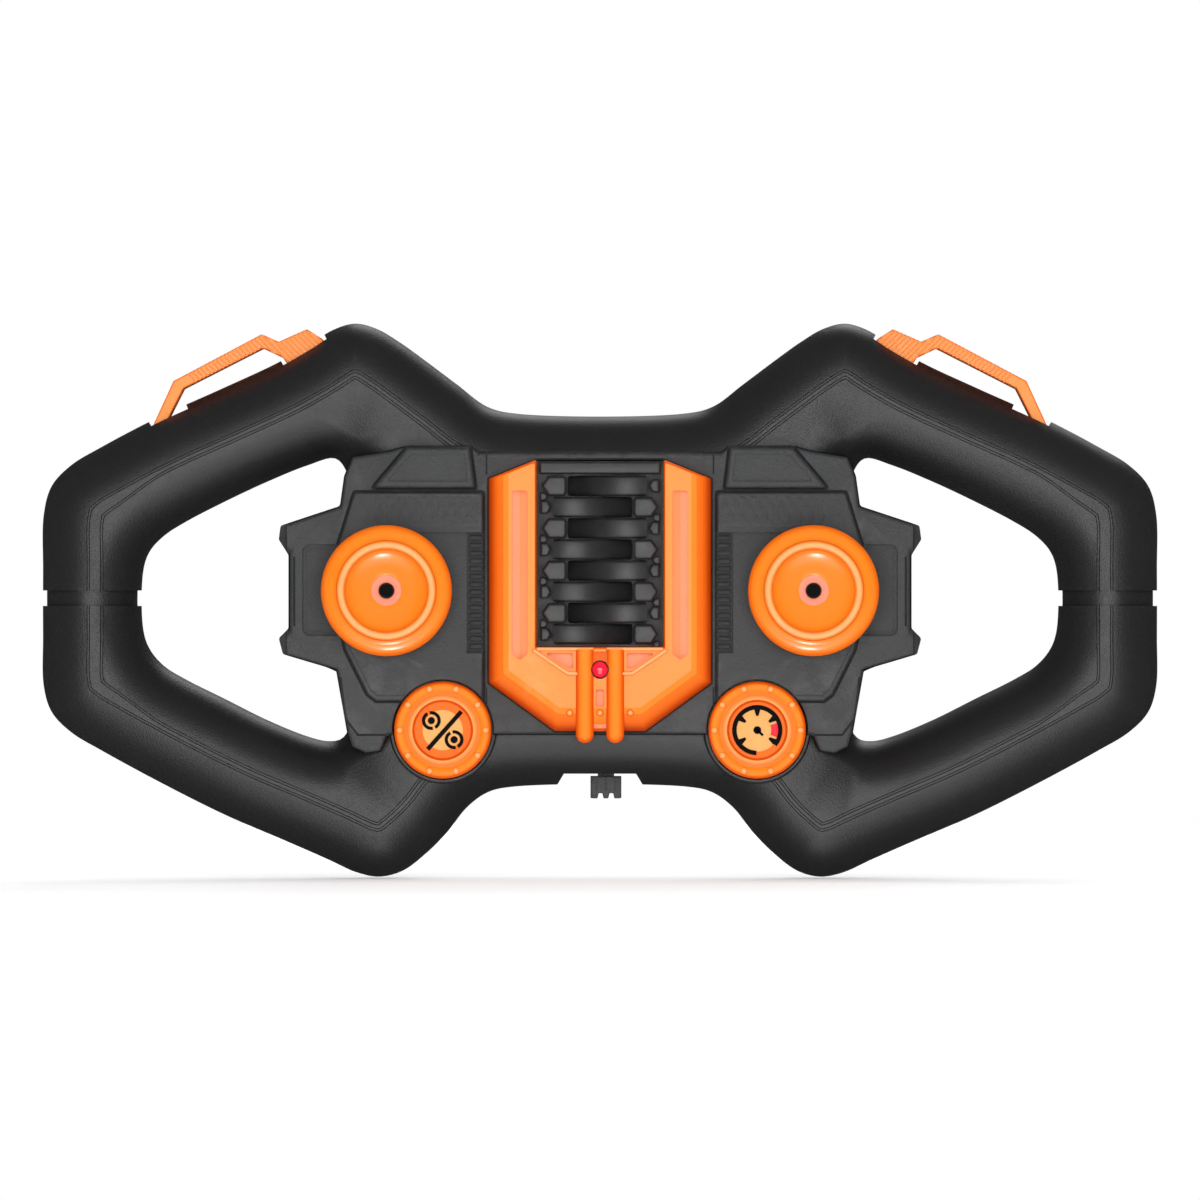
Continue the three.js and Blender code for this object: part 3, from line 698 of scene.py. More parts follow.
def calc(tree, operation, first, second, clamp=False):
    node = add_node(tree, "Math")
    node.operation = operation
    node.use_clamp = clamp
    feed(tree, first, node.inputs[0])
    feed(tree, second, node.inputs[1])
    return node.outputs[0]


def mix(tree, factor, first, second):
    node = add_node(tree, "Mix")
    node.data_type = "RGBA"
    for i, value in ((0, factor), (6, first), (7, second)):
        feed(tree, value, node.inputs[i])
    return node.outputs[2]


def swing(tree, factor, amount):
    """The factor centred on zero and scaled."""
    return calc(tree, "MULTIPLY", calc(tree, "SUBTRACT", factor, 0.5), amount)


def bump(tree, shader, height, strength, distance):
    node = add_node(tree, "Bump", {"Strength": strength, "Distance": distance})
    tree.links.new(height, node.inputs["Height"])
    tree.links.new(node.outputs[0], shader.inputs["Normal"])


# ------------------------------------------------------------------ materials
def plastic(
    name, base, alt, rough, spread, grain, relief, wear, worn=(0.2, 0.2, 0.2),
    coat=0.0, sss=0.0, specular=0.5, turned_away_shade=None, foot=None,
):
    """Moulded plastic: cloudy colour, fine grain, handling marks and rubbed edges.
    base and alt are the clouds' colours, spread varies the roughness, grain and relief are the
    scale and strength of the bumps, and worn is the colour of rubbed edges. The deep colour is
    painted shade on faces that turn away from the view; foot is (fwd, fwd, colour) for a painted
    shade that fades in from the second fwd back to the first."""
    material, tree, shader = new_material(name)
    coord = object_coords(tree)
    colour = mix(tree, noise(tree, coord, scale=90.0, detail=4.0, rough=0.6), base, alt)
    speck = noise(tree, coord, scale=grain * 0.45, detail=2.0, rough=0.6)
    lighter = tuple(min(1.0, c * 1.9 + 0.01) for c in base)
    colour = mix(tree, calc(tree, "MULTIPLY", speck, 0.16), colour, lighter)
    pointiness = add_node(tree, "NewGeometry").outputs["Pointiness"]
    edge = ramp(tree, pointiness, start=0.51, end=0.57)
    scuff = noise(tree, coord, scale=260.0, detail=5.0, rough=0.7)
    scuff = ramp(tree, scuff, start=0.42, end=0.66)
    rubbed = calc(tree, "MULTIPLY", calc(tree, "MULTIPLY", edge, scuff), wear, clamp=True)
    colour = mix(tree, rubbed, colour, worn)
    # painted shade: faces that turn away from the view take a darker colour
    if turned_away_shade:
        facing = add_node(tree, "LayerWeight", {"Blend": 0.5}).outputs["Facing"]
        colour = mix(tree, ramp(tree, facing, start=0.012, end=0.2), colour, turned_away_shade)
    # painted shade: the colour darkens towards the back between the two fwd values
    if foot:
        split = add_node(tree, "SeparateXYZ")
        tree.links.new(coord, split.inputs[0])
        fall = add_node(tree, "MapRange", {
            "From Min": (PART_Y - foot[1]) / 1000.0, "From Max": (PART_Y - foot[0]) / 1000.0,
        })
        tree.links.new(split.outputs["Y"], fall.inputs["Value"])
        colour = mix(tree, fall.outputs[0], colour, foot[2])
    tree.links.new(colour, shader.inputs["Base Color"])

    patches = noise(tree, coord, scale=38.0, detail=5.0, rough=0.65, distortion=0.6)
    roughness = calc(tree, "ADD", swing(tree, patches, spread * 2), rough)
    roughness = calc(tree, "ADD", roughness, swing(tree, speck, 0.12))
    polish = calc(tree, "MULTIPLY", rubbed, 0.12)
    roughness = calc(tree, "SUBTRACT", roughness, polish, clamp=True)
    tree.links.new(roughness, shader.inputs["Roughness"])
    set_inputs(shader, {"Specular IOR Level": specular})
    if coat:
        set_inputs(shader, {"Coat Weight": coat, "Coat Roughness": 0.18})
    if sss:
        set_inputs(shader, {
            "Subsurface Weight": sss, "Subsurface Radius": (1.0, 0.35, 0.1),
            "Subsurface Scale": 0.0012,
        })

    cells = add_node(tree, "TexVoronoi", {"Scale": grain})
    tree.links.new(coord, cells.inputs["Vector"])
    fine = noise(tree, coord, scale=grain * 1.3, detail=2.0, rough=0.5)
    cell_height = calc(tree, "MULTIPLY", cells.outputs["Distance"], 0.6)
    height = calc(tree, "ADD", cell_height, calc(tree, "MULTIPLY", fine, 0.6))
    wavy = noise(tree, coord, scale=55.0, detail=2.0, rough=0.5)
    height = calc(tree, "ADD", height, calc(tree, "MULTIPLY", wavy, 0.8))
    bump(tree, shader, height, strength=relief, distance=0.00012)
    return material


def metal(name, base, tint, rough, stretch):
    """Brushed metal; stretch scales the brush lines along each axis."""
    material, tree, shader = new_material(name)
    coord = object_coords(tree)
    mapping = add_node(tree, "Mapping", {"Scale": stretch})
    tree.links.new(coord, mapping.inputs["Vector"])
    lines = noise(tree, mapping.outputs[0], scale=900.0, rough=0.6)
    cloud = noise(tree, coord, scale=160.0, detail=4.0, rough=0.6)
    colour = mix(tree, calc(tree, "MULTIPLY", cloud, 0.35), base, tint)
    tree.links.new(colour, shader.inputs["Base Color"])
    set_inputs(shader, {"Metallic": 1.0})
    roughness = calc(tree, "ADD", calc(tree, "MULTIPLY", lines, 0.22), rough - 0.11)
    tree.links.new(roughness, shader.inputs["Roughness"])
    bump(tree, shader, lines, strength=0.08, distance=0.00003)
    return material


def wrap_material():
    """Plain cell wrap: a dark body with one copper coloured end band."""
    material, tree, shader = new_material("cell_wrap")
    coord = object_coords(tree)
    split = add_node(tree, "SeparateXYZ")
    tree.links.new(coord, split.inputs[0])
    band = calc(tree, "GREATER_THAN", split.outputs["X"], 0.008)  # metres
    cloud = noise(tree, coord, scale=70.0)
    dark = mix(tree, cloud, (0.02, 0.022, 0.026), (0.035, 0.037, 0.042))
    copper = mix(tree, cloud, (0.62, 0.3, 0.12), (0.7, 0.36, 0.15))
    tree.links.new(mix(tree, band, dark, copper), shader.inputs["Base Color"])
    tree.links.new(calc(tree, "MULTIPLY", band, 0.7), shader.inputs["Metallic"])
    smears = calc(tree, "MULTIPLY", noise(tree, coord, scale=240.0, detail=4.0), 0.2)
    tree.links.new(calc(tree, "ADD", smears, 0.18), shader.inputs["Roughness"])
    wrinkles = noise(tree, coord, scale=700.0, detail=2.0)
    bump(tree, shader, wrinkles, strength=0.1, distance=0.00003)
    return material


def lamp_material():
    material, tree, shader = new_material("lamp_red")
    coord = object_coords(tree)
    cloud = noise(tree, coord, scale=900.0, detail=2.0)
    colour = mix(tree, cloud, (0.75, 0.005, 0.03), (0.9, 0.02, 0.06))
    tree.links.new(colour, shader.inputs["Base Color"])
    set_inputs(shader, {
        "Roughness": 0.08,
        "Subsurface Weight": 0.3, "Subsurface Radius": (1.0, 0.1, 0.1),
        "Subsurface Scale": 0.001, "Coat Weight": 0.6, "Coat Roughness": 0.04,
        "Emission Color": (1.0, 0.02, 0.06, 1), "Emission Strength": 0.25,
    })
    smears = calc(tree, "MULTIPLY", noise(tree, coord, scale=500.0), 0.1)
    tree.links.new(calc(tree, "ADD", smears, 0.05), shader.inputs["Roughness"])
    return material


GLOSSY = dict(
    rough=0.4, spread=0.1, grain=4200.0, relief=0.12, wear=0.2, sss=0.08, specular=0.14
)
MATT = dict(
    rough=0.5, spread=0.08, grain=3000.0, relief=0.3, wear=0.2, sss=0.08, specular=0.12
)
INK = dict(rough=0.55, spread=0.08, grain=5200.0, relief=0.15, wear=0.0, specular=0.05)
# painted shade: a darker orange for slots, creases, sunken faces and the bezel's chamfer
SHADED_ORANGE = dict(
    GLOSSY, base=(0.95, 0.145, 0.0025), alt=(1.0, 0.17, 0.004), worn=(1.0, 0.35, 0.1),
    turned_away_shade=(0.8, 0.08, 0.001),
)
PLASTICS = {
    "black": dict(
        name="black_plastic", base=(0.012, 0.012, 0.0125), alt=(0.016, 0.016, 0.0165),
        rough=0.42, spread=0.055, grain=3000.0, relief=0.35, wear=0.22,
        worn=(0.06, 0.06, 0.06), specular=0.55),
    "grey": dict(
        name="grey_plastic", base=(0.022, 0.023, 0.024), alt=(0.03, 0.031, 0.033),
        rough=0.52, spread=0.08, grain=2200.0, relief=0.6, wear=0.35, worn=(0.1, 0.1, 0.1)),
    "dark": dict(
        name="dark_plastic", base=(0.006, 0.006, 0.0065), alt=(0.01, 0.01, 0.0105),
        rough=0.5, spread=0.1, grain=4200.0, relief=0.2, wear=0.25,
        worn=(0.04, 0.04, 0.04), specular=0.3),
    "slat": dict(
        name="slat_plastic", base=(0.013, 0.0133, 0.0136), alt=(0.019, 0.0193, 0.0196),
        rough=0.4, spread=0.1, grain=3600.0, relief=0.2, wear=0.25,
        worn=(0.09, 0.09, 0.09), specular=0.55),
    "grey_low": dict(
        name="grey_plastic_low", base=(0.014, 0.0145, 0.015), alt=(0.02, 0.0205, 0.021),
        rough=0.56, spread=0.08, grain=2200.0, relief=0.5, wear=0.2,
        worn=(0.08, 0.08, 0.08), specular=0.4),
    "orange": dict(
        GLOSSY, name="orange_plastic", base=(0.95, 0.215, 0.004), alt=(1.0, 0.245, 0.007),
        wear=0.3, worn=(1.0, 0.42, 0.14), turned_away_shade=(0.86, 0.105, 0.0012)),
    # painted highlight: a lighter copy of the orange for faces that look forward
    "lit_orange": dict(
        GLOSSY, name="lit_orange_plastic", base=(0.92, 0.29, 0.06), alt=(0.97, 0.32, 0.075),
        rough=0.42, worn=(1.0, 0.5, 0.2), turned_away_shade=(0.9, 0.12, 0.002)),
    # painted highlight: a paler orange for crests, bump tops and studs
    "highlight_orange": dict(
        GLOSSY, name="highlight_orange_plastic", base=(0.97, 0.4, 0.14), alt=(1.0, 0.44, 0.17),
        worn=(1.0, 0.6, 0.3), sss=0.12, turned_away_shade=(0.95, 0.27, 0.04)),
    "shaded_orange": dict(SHADED_ORANGE, name="shaded_orange_plastic"),
    # painted shade: the bezel's outer chamfer, darker still towards its back
    "chamfer_shade_orange": dict(
        SHADED_ORANGE, name="chamfer_shade_orange_plastic", sss=0.05, specular=0.1,
        foot=(16.1, 17.75, (0.26, 0.032, 0.0004))),
    "key_orange": dict(
        GLOSSY, name="shoulder_key_orange", base=(0.95, 0.29, 0.065), alt=(1.0, 0.33, 0.085),
        rough=0.45, relief=0.15, wear=0.25, worn=(1.0, 0.5, 0.25), specular=0.15,
        turned_away_shade=(0.9, 0.15, 0.01)),
    "salmon": dict(
        MATT, name="salmon_plastic", base=(0.93, 0.33, 0.165), alt=(1.0, 0.37, 0.2),
        worn=(1.0, 0.55, 0.3)),
    # painted shade: a darker salmon for one side of each V-shaped channel
    "salmon_shaded": dict(
        MATT, name="salmon_plastic_shaded", base=(0.93, 0.29, 0.11), alt=(1.0, 0.33, 0.14),
        worn=(1.0, 0.55, 0.3)),
    "cap_orange": dict(
        GLOSSY, name="thumb_cap_orange", base=(0.97, 0.21, 0.0035), alt=(1.0, 0.24, 0.006),
        rough=0.42, spread=0.08, relief=0.1, wear=0.3, worn=(1.0, 0.45, 0.16), coat=0.3,
        sss=0.12, specular=0.1, turned_away_shade=(0.92, 0.16, 0.003)),
    "hub_pink": dict(
        MATT, name="hub_pink_plastic", base=(0.95, 0.31, 0.2), alt=(1.0, 0.35, 0.24),
        worn=(1.0, 0.55, 0.35)),
    "pale": dict(
        MATT, name="pale_orange_plastic", base=(0.95, 0.42, 0.12), alt=(1.0, 0.46, 0.15),
        grain=3200.0, relief=0.25, wear=0.1, worn=(1.0, 0.6, 0.35)),
    "ink": dict(
        INK, name="black_ink", base=(0.002, 0.0017, 0.0017), alt=(0.004, 0.0034, 0.003)),
    "void": dict(
        INK, name="screw_black", base=(0.002, 0.002, 0.002), alt=(0.004, 0.004, 0.004),
        rough=0.6),
    "red_ink": dict(
        INK, name="red_ink", base=(0.8, 0.006, 0.02), alt=(0.88, 0.01, 0.03), rough=0.4,
        specular=0.2),
    "rubber": dict(
        name="pad_rubber", base=(0.22, 0.225, 0.23), alt=(0.28, 0.285, 0.29),
        rough=0.7, spread=0.08, grain=2500.0, relief=0.3, wear=0.1),
    "cable": dict(
        name="cable_red", base=(0.28, 0.012, 0.012), alt=(0.34, 0.02, 0.018),
        rough=0.45, spread=0.1, grain=2500.0, relief=0.2, wear=0.1),
    "board": dict(
        name="circuit_board", base=(0.012, 0.11, 0.04), alt=(0.02, 0.15, 0.055),
        rough=0.35, spread=0.1, grain=1800.0, relief=0.25, wear=0.2,
        worn=(0.25, 0.3, 0.1), coat=0.4),
}
MATERIALS = {key: plastic(**look) for key, look in PLASTICS.items()}
MATERIALS["steel"] = metal(
    "steel", base=(0.6, 0.6, 0.62), tint=(0.5, 0.45, 0.4), rough=0.32, stretch=(1, 1, 60)
)
MATERIALS["contact"] = metal(
    "contact_metal", base=(0.78, 0.74, 0.62), tint=(0.74, 0.66, 0.48), rough=0.3,
    stretch=(1, 1, 12),
)
MATERIALS["wrap"] = wrap_material()
MATERIALS["lamp"] = lamp_material()


def set_material(obj, material):
    obj.data.materials.clear()
    obj.data.materials.append(MATERIALS[material])


def dress(obj, material, slot, *replaced, body="housing", smooth=None):
    """Gives a piece its shading, its material and its place in the frame."""
    if smooth:
        shade(obj, smooth)
    set_material(obj, material)
    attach(obj, body)
    if replaced:
        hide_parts(*replaced)


def paint(obj, material, test):
    """Gives faces a further material; test gets x, fwd and z of a face's middle, and how far
    it faces forwards, from -1 to 1."""
    mesh = obj.data
    mesh.materials.append(MATERIALS[material])
    slot = len(mesh.materials) - 1
    for face in mesh.polygons:
        mid = face.center
        x, fwd, z = mid.x * 1000.0 - MID_X, PART_Y - mid.y * 1000.0, mid.z * 1000.0
        if test(x, fwd, z, -face.normal.y):
            face.material_index = slot


# ------------------------------------------------------------------ housing shells
ON_EDGE = -1e-4  # keeps the innermost level line just outside the flat crown
shell_lines = dome_lines(ROUND, 11, ON_EDGE)
front_lines = list(shell_lines)
for which in (0, 1):
    for steps_off in (-2, -1, 1, 2):
        front_lines += crown_lines(which, steps_off * GROOVE_STEP)
front = height_solid(LOOPS, front_lines, front_height, SHELL_GAP, name="front_housing")
rear = height_solid(LOOPS, shell_lines, dome_height, SHELL_GAP, -1.0, "rear_housing")

# collars round the push buttons
for centre in BUTTONS.values():
    join(front, turned([
        (0, 3.0), (COLLAR_R, 3.0), (COLLAR_R, 12.1), (COLLAR_R - 0.12, 12.45),
        (COLLAR_R - 0.35, 12.6), (0, 12.6),
    ], centre))
for shell, sign in ((front, 1.0), (rear, -1.0)):
    cut(shell, inner_solid(WALL, DEPTH - WALL, BAND - 0.2, HOLLOW_ROUND, 5, -1.0, sign))


def rim_band(outer, inner, back, front_end):
    """A band that follows every edge, between two distances from it."""
    return cut(flat_solid(outer, back, front_end), flat_solid(inner, back - 2.0, front_end + 2.0))


# tongue of the front shell, which stands in a rebate of the rear one
join(front, rim_band(1.2, 2.15, -1.1, 0.6))
cut(rear, rim_band(1.05, 2.35, -1.3, 1.0))


def ring_cut(sign, side):
    """Cutter for a level groove round one end, down to a smaller core."""
    core = inner_solid(RING_DEPTH, DEPTH - 0.7, BAND, ROUND - RING_DEPTH, 9, -3.0, sign)
    left, right = sorted((side * 84, side * 112))
    back, front_end = sorted((-sign, sign * 13))
    ring = make("cutter", block(left, right, back, front_end, -1.1, 1.9), CUTTER_WELD)
    return cut(ring, core)


for shell, sign in ((front, 1.0), (rear, -1.0)):
    for side in (-1, 1):
        cut(shell, ring_cut(sign, side))

# the shoulder keys are laid out along the sloping top edge
EDGE_TILT = math.radians(26.8)
EDGE_ORIGIN = (-86.5, 34.1)


def on_edge(along, out):
    cos, sin = math.cos(EDGE_TILT), math.sin(EDGE_TILT)
    return (
        EDGE_ORIGIN[0] + along * cos - out * sin,
        EDGE_ORIGIN[1] + along * sin + out * cos,
    )


def edge_cut(start, end, low, high, side):
    outline = [on_edge(along, out) for along, out in rect(start, end, low, high)]
    return prism(sided(outline, side), -5.4, 5.4)


# notch and slot for the power switch knob, and gaps for the two ends of each shoulder key
NOTCH = [(-9.2, -37.4), (-7, -33.65), (7, -33.65), (9.2, -37.4)]
for shell in (front, rear):
    cut(shell, prism(NOTCH, -12, 12), block(-4.9, 4.9, -2.6, 2.6, -34.5, -29))
    for side in (-1, 1):
        cut(shell, edge_cut(-0.9, 7.2, -6, 3, side), edge_cut(27.4, 37.3, -5, 3, side))

for centre in STICKS.values():
    cut(front, well(centre, STICK_WELL_R, 6.0, 11.2, flare=0.3))
for centre in BUTTONS.values():
    cut(front, well(centre, BUTTON_R + 0.25, 5.6, 12.7, flare=0.12))
cut(
    front,
    prism(rect(*WINDOW), 6, 14),
    well(LAMP_AT, LAMP_HOLE_R, 6, 12, flare=0.1, segs=24),
)
dress(front, "black", "black_plastic", "front_shell", smooth=SMOOTH)

# battery bay on the back
LID_SCREW = (0, -20.5)
bay = plate(rect(-31.5, 31.5, -26, 19), 8.0, BAY_BACK, bevel=1.2, radius=2.6, steps=5, segs=6)
join(rear, towards_back(bay), block(-30, 30, -9, 3.4, -17, 17))
cut(
    rear,
    block(-28.6, 28.6, -20, 1.9, -15.6, 15.6),
    towards_back(plate(rect(-29.9, 29.9, -16.9, 16.9), 13.0, 20, bevel=0.01, radius=1.2)),
    towards_back(plate(rect(-6, 6, -24.1, -16), 13.0, 20.5, bevel=0.01, radius=1.0)),
    towards_back(turned([(1.35, 4), (1.35, 14)], LID_SCREW, 32)),
    block(-28.2, -24.9, 0, 4, -10.5, -4.5),
    block(24.9, 28.2, 0, 4, -10.5, -4.5),
)

# screw bosses
SCREWS = [(-46.8, 43.6), (46.8, 43.6), (-43.0, -43.7), (43.0, -43.7), (-98.6, -13.5), (98.6, -13.5)]
SCREW_HOLE = [  # (radius, distance to the back)
    (0, -1), (1.5, -1), (1.5, 5.0), (2.9, 5.0), (2.9, 10.6), (3.3, 11.0), (3.3, 14), (0, 14),
]
for place in SCREWS:
    join(rear, towards_back(cylinder(3.8, 0.4, 9.2, place, 40)))
    cut(rear, towards_back(turned(SCREW_HOLE, place, 48)))
    join(front, cylinder(3.2, 0.4, 9.2, place, 32))
    cut(front, cylinder(1.35, -1, 7.4, place, 20))
shade(front)  # again, for the faces of the bosses
dress(rear, "black", "black_plastic", "rear_shell", smooth=SMOOTH)

# ------------------------------------------------------------------ outlines of the plates, (x, z)
CONSOLE_HALF = [  # left half, from the top middle round to the bottom middle
    (-23.35, 28.75), (-25.1, 29.95), (-37.35, 29.95), (-40.85, 29), (-48.05, 27.85),
    (-49.55, 24), (-50.35, 18.25), (-61.85, 14.45), (-62.2, 11.75), (-60.3, 8.75),
    (-60.3, -5.45), (-62.2, -7.35), (-61.4, -10.45), (-51.1, -13.5), (-48.85, -26.25),
    (-48.15, -28.45), (-45.45, -29.75), (-42.35, -29.35), (-41, -26.05),
]
FASCIA = [
    (-47.5, 20.9), (-22.6, 20.9), (-22.6, -19.5), (-43.3, -19.5), (-45, -18.2),
    (-49.25, -9.7), (-51.4, -0.25), (-51.1, 9.4),
]
TOP_PANEL = [(-37.35, 29.65), (-25.1, 29.65), (-24.05, 21.65), (-44.1, 21.65)]
BEZEL_OUTSIDE = [
    (-12.25, 27.25), (-21.55, 23.5), (-21.55, -16), (-8.75, -25.35), (8.75, -25.35),
    (21.55, -16), (21.55, 23.5), (12.25, 27.25),
]
BEZEL = BEZEL_OUTSIDE + [(12.25, -9), (-12.25, -9)]

# ------------------------------------------------------------------ console frame


def console_bevel(x, z):
    if abs(x) > 60.8 and (z > 8 or z < -5):
        return 2.4  # ears of the side wings
    if abs(x) > 59.5:
        return 1.3
    if abs(x) < 50 and z < -26.5:
        return 1.2
    return 1.0


console = make("console", plate(
    CONSOLE_HALF + mirrored(CONSOLE_HALF), 2.0, 14.0, bevel=0.8, radius=0.7,
    weigh=console_bevel,
))
cut(console, height_solid(
    LOOPS, dome_lines(ROUND, 8, ON_EDGE), lambda points: dome_height(points) + 0.22, -1.0
))
CONSOLE_BUTTON_HOLE = [  # (radius, fwd), with a rim that overhangs the collar
    (0, -1), (11.0, -1), (11.0, 12.85), (9.7, 12.85), (9.7, 13.8), (9.9, 14.05), (9.9, 20),
    (0, 20),
]
cuts = [
    prism(rect(*WINDOW), -1, 20),
    well(LAMP_AT, LAMP_HOLE_R, -1, 20, flare=0.1, segs=32),
]
cuts += [well(centre, STICK_WELL_R, -1, 14.1, flare=0.25) for centre in STICKS.values()]
cuts += [turned(CONSOLE_BUTTON_HOLE, centre) for centre in BUTTONS.values()]
for side in (-1, 1):
    for low, high in ((6.5, 18), (-12.5, -4.2)):  # steps in the ears
        cuts.append(prism(sided(rect(-64, -60.55, low, high), side), 12.4))
    pocket = ccw(sided(fillet(rect(-57.6, -49.9, -6.95, 10.85), 1.5, 6), side))
    cuts += [
        prism(pocket, 12.75),
        prism(offset(pocket, 0.75), 12.4),
        groove(sided([(-59.15, 8.4), (-59.15, -5.0)], side), 0.2, 13.3),
    ]
    for outline, gap in ((FASCIA, 0.42), (TOP_PANEL, 0.38)):  # seats of the plates
        seat = ccw(sided(offset(ccw(outline), -gap), side))
        cuts.append(prism(fillet(seat, 0.6, 3), 13.2))
    corner_line = [(-50.2, -14.85), (-49.35, -22.75), (-46.85, -26.05), (-40.2, -26.05)]
    cuts.append(groove(sided(corner_line, side), 0.22, 13.35))
    for start, end in ((29.6, 24.4), (-16.8, -26.4)):
        cuts.append(groove([(side * 21.95, start), (side * 21.95, end)], 0.16, 13.5))
cuts.append(prism(offset(ccw(BEZEL_OUTSIDE), -0.22), 13.2))
cut(console, *cuts)
dress(console, "grey", "grey_plastic", "console_frame", smooth=SMOOTH)
# painted shade: groove floors, the seats round the plates, walls that turn away and the ear tips
# are painted dark
paint(console, "dark", lambda x, fwd, z, facing: (
    13.1 < fwd < 13.6 or (fwd < 13.97 and facing < 0.72) or (abs(x) > 60.4 and fwd < 13)
))

# ------------------------------------------------------------------ fascia plates


def knurl(left, right, low, high, base, ridge, pitch, step=0.3):
    """Thin plate whose face is covered in low V-shaped ridges."""
    across, up = int(round((right - left) / step)), int(round((high - low) / step))
    xs, zs = np.meshgrid(np.linspace(left, right, across + 1), np.linspace(low, high, up + 1))

    def zigzag(values):
        return 2 * np.abs(values / pitch - np.floor(values / pitch + 0.5))

    margin = np.minimum(np.minimum(xs - left, right - xs), np.minimum(zs - low, high - zs))
    fade = np.clip(margin / 0.6, 0, 1)
    ridges = np.minimum(zigzag(xs + 0.55 * zs), zigzag(xs - 0.55 * zs))
    face = base + ridge * fade * ridges
    shape = Shape()
    top = shape.add(list(zip(xs.ravel(), face.ravel(), zs.ravel())))
    under = shape.add([(x, base - 0.5, z) for x, z in zip(xs.ravel(), zs.ravel())])
    row = across + 1
    for j in range(up):
        for i in range(across):
            start = j * row + i
            quad = (start, start + 1, start + row + 1, start + row)
            shape.faces.append(tuple(top[k] for k in quad))
            shape.faces.append(tuple(under[k] for k in reversed(quad)))
    border = list(range(row))
    border += [j * row + across for j in range(1, up + 1)]
    border += [up * row + i for i in range(across - 1, -1, -1)]
    border += [j * row for j in range(up - 1, 0, -1)]
    for i, j in zip(border, border[1:] + border[:1]):
        shape.faces.append((top[j], top[i], under[i], under[j]))
    return shape


RECESS_LOW, RECESS_HIGH = -10.25, 13.15
RECESS_SIDE = -25.75  # where the recess gives way to the ladder
fascia = make("left_fascia", plate(FASCIA, PLATE_BACK, 15.8, bevel=0.45, radius=0.7, segs=5))
cut(
    fascia,
    well(STICKS["left"], STICK_WELL_R, 12, 15.9, flare=0.3),
    well(BUTTONS["left"], 9.7, 12, 15.85, flare=0.18),
    wedge(
        rect(-38.5, RECESS_SIDE, RECESS_LOW, RECESS_HIGH),
        lambda x, z: 14.95 if z > 0 else 15.8,
    ),
    prism(rect(RECESS_SIDE, -22.0, RECESS_LOW, RECESS_HIGH), 14.7),
    groove(
        [(-50.6, 2.0), (-48.4, -9.2), (-44.4, -17.2), (-42.9, -18.4), (-36.0, -18.4)],
        0.14, 15.55,
    ),
)
rungs = Shape()
for k in range(15):
    z = 12.1 - 1.5 * k
    rung = rect(-25.2, -22.75, z - 0.42, z + 0.42)
    rungs.merge(plate(rung, 14.6, 15.45, bevel=0.2, radius=0.1, steps=2, segs=2))
join(
    fascia,
    rungs,
    make("cutter", knurl(-43.6, -23.2, 14.35, 20.2, base=15.81, ridge=0.13, pitch=2.2)),
)
shade(fascia, 30)
right_fascia = mirror_object(fascia, "right_fascia")
for obj, side in ((fascia, "left"), (right_fascia, "right")):
    dress(obj, "grey", "grey_plastic", f"{side}_fascia_plate")
    # painted shade: the plate's walls and the step at the top of the recess are painted dark
    paint(obj, "dark", lambda x, fwd, z, facing: (
        fwd < 14.5 or (facing < 0.3 and fwd < 15.7 and 13.0 < z < 13.3)
    ))
    # painted shade: the sunken ladder and its rungs are painted a darker grey
    paint(obj, "grey_low", lambda x, fwd, z, facing: (
        facing > 0.8 and fwd < 15.5 and -10.6 < z < 13.4 and abs(x) < 25.75
    ))

# ------------------------------------------------------------------ top panels
panel = make("left_top", plate(TOP_PANEL, PLATE_BACK, 16.3, bevel=0.7, radius=0.5))
tray = ccw([(-36.6, 28.35), (-26.1, 28.35), (-25.55, 22.9), (-41.4, 22.9)])
cut(panel, prism(fillet(tray, 0.4), 15.75))
shade(panel, 30)
right_panel = mirror_object(panel, "right_top")
for obj, side in ((panel, "left"), (right_panel, "right")):
    dress(obj, "grey", "grey_plastic", f"{side}_top_panel")
    # painted shade: walls that turn away are painted dark
    paint(obj, "dark", lambda x, fwd, z, facing: facing < 0.3)

# ------------------------------------------------------------------ centre bezel


def bezel_bevel(x, z):
    if abs(x) > 21:
        return 3.9
    if z < -25:
        return 4.6
    if z < -16 and abs(x) > 9:
        return 4.3
    if z > 23.6 and abs(x) > 13:
        return 0.55
    return 0.4


RIB_X, RIB_HALF = 2.95, 1.72
RIB_HIGH, RIB_LOW = -9.5, -27.6
RIB_BACK, RIB_SIDE, RIB_CREST = 14.4, 17.9, 18.95  # fwd of the foot, shoulder and crest
STUD_X, STUD_Z = 5.85, -21.75


def rib(mid_x, segs=18):
    """Rib along z with a round front; its lower end is rounded too."""
    round_z = RIB_LOW + RIB_HALF
    stations = [RIB_HIGH] + [RIB_HIGH + (round_z - RIB_HIGH) * k / 3 for k in (1, 2)]
    stations += [RIB_LOW + RIB_HALF * (1 - math.sin(math.pi / 2 * k / 8)) for k in range(9)]
    rings = []
    for z in stations:
        t = max(0.0, min(1.0, (round_z - z) / RIB_HALF))
        scale = math.sqrt(max(0.0, 1 - t * t))
        half = max(RIB_HALF * scale, 0.12)
        crest = RIB_SIDE + (RIB_CREST - RIB_SIDE) * max(scale, 0.12)
        ring = [(mid_x - half, RIB_BACK, z), (mid_x + half, RIB_BACK, z)]
        for k in range(segs + 1):
            a = math.pi * k / segs
            fwd = RIB_SIDE + (crest - RIB_SIDE) * math.sin(a)
            ring.append((mid_x + half * math.cos(a), fwd, z))
        rings.append(ring)
    return loft(rings)


bezel = make("bezel", plate(
    BEZEL, PLATE_BACK, 18.0, bevel=1.0, radius=0.35, steps=6, segs=3, drop=1.9,
    weigh=bezel_bevel,
))
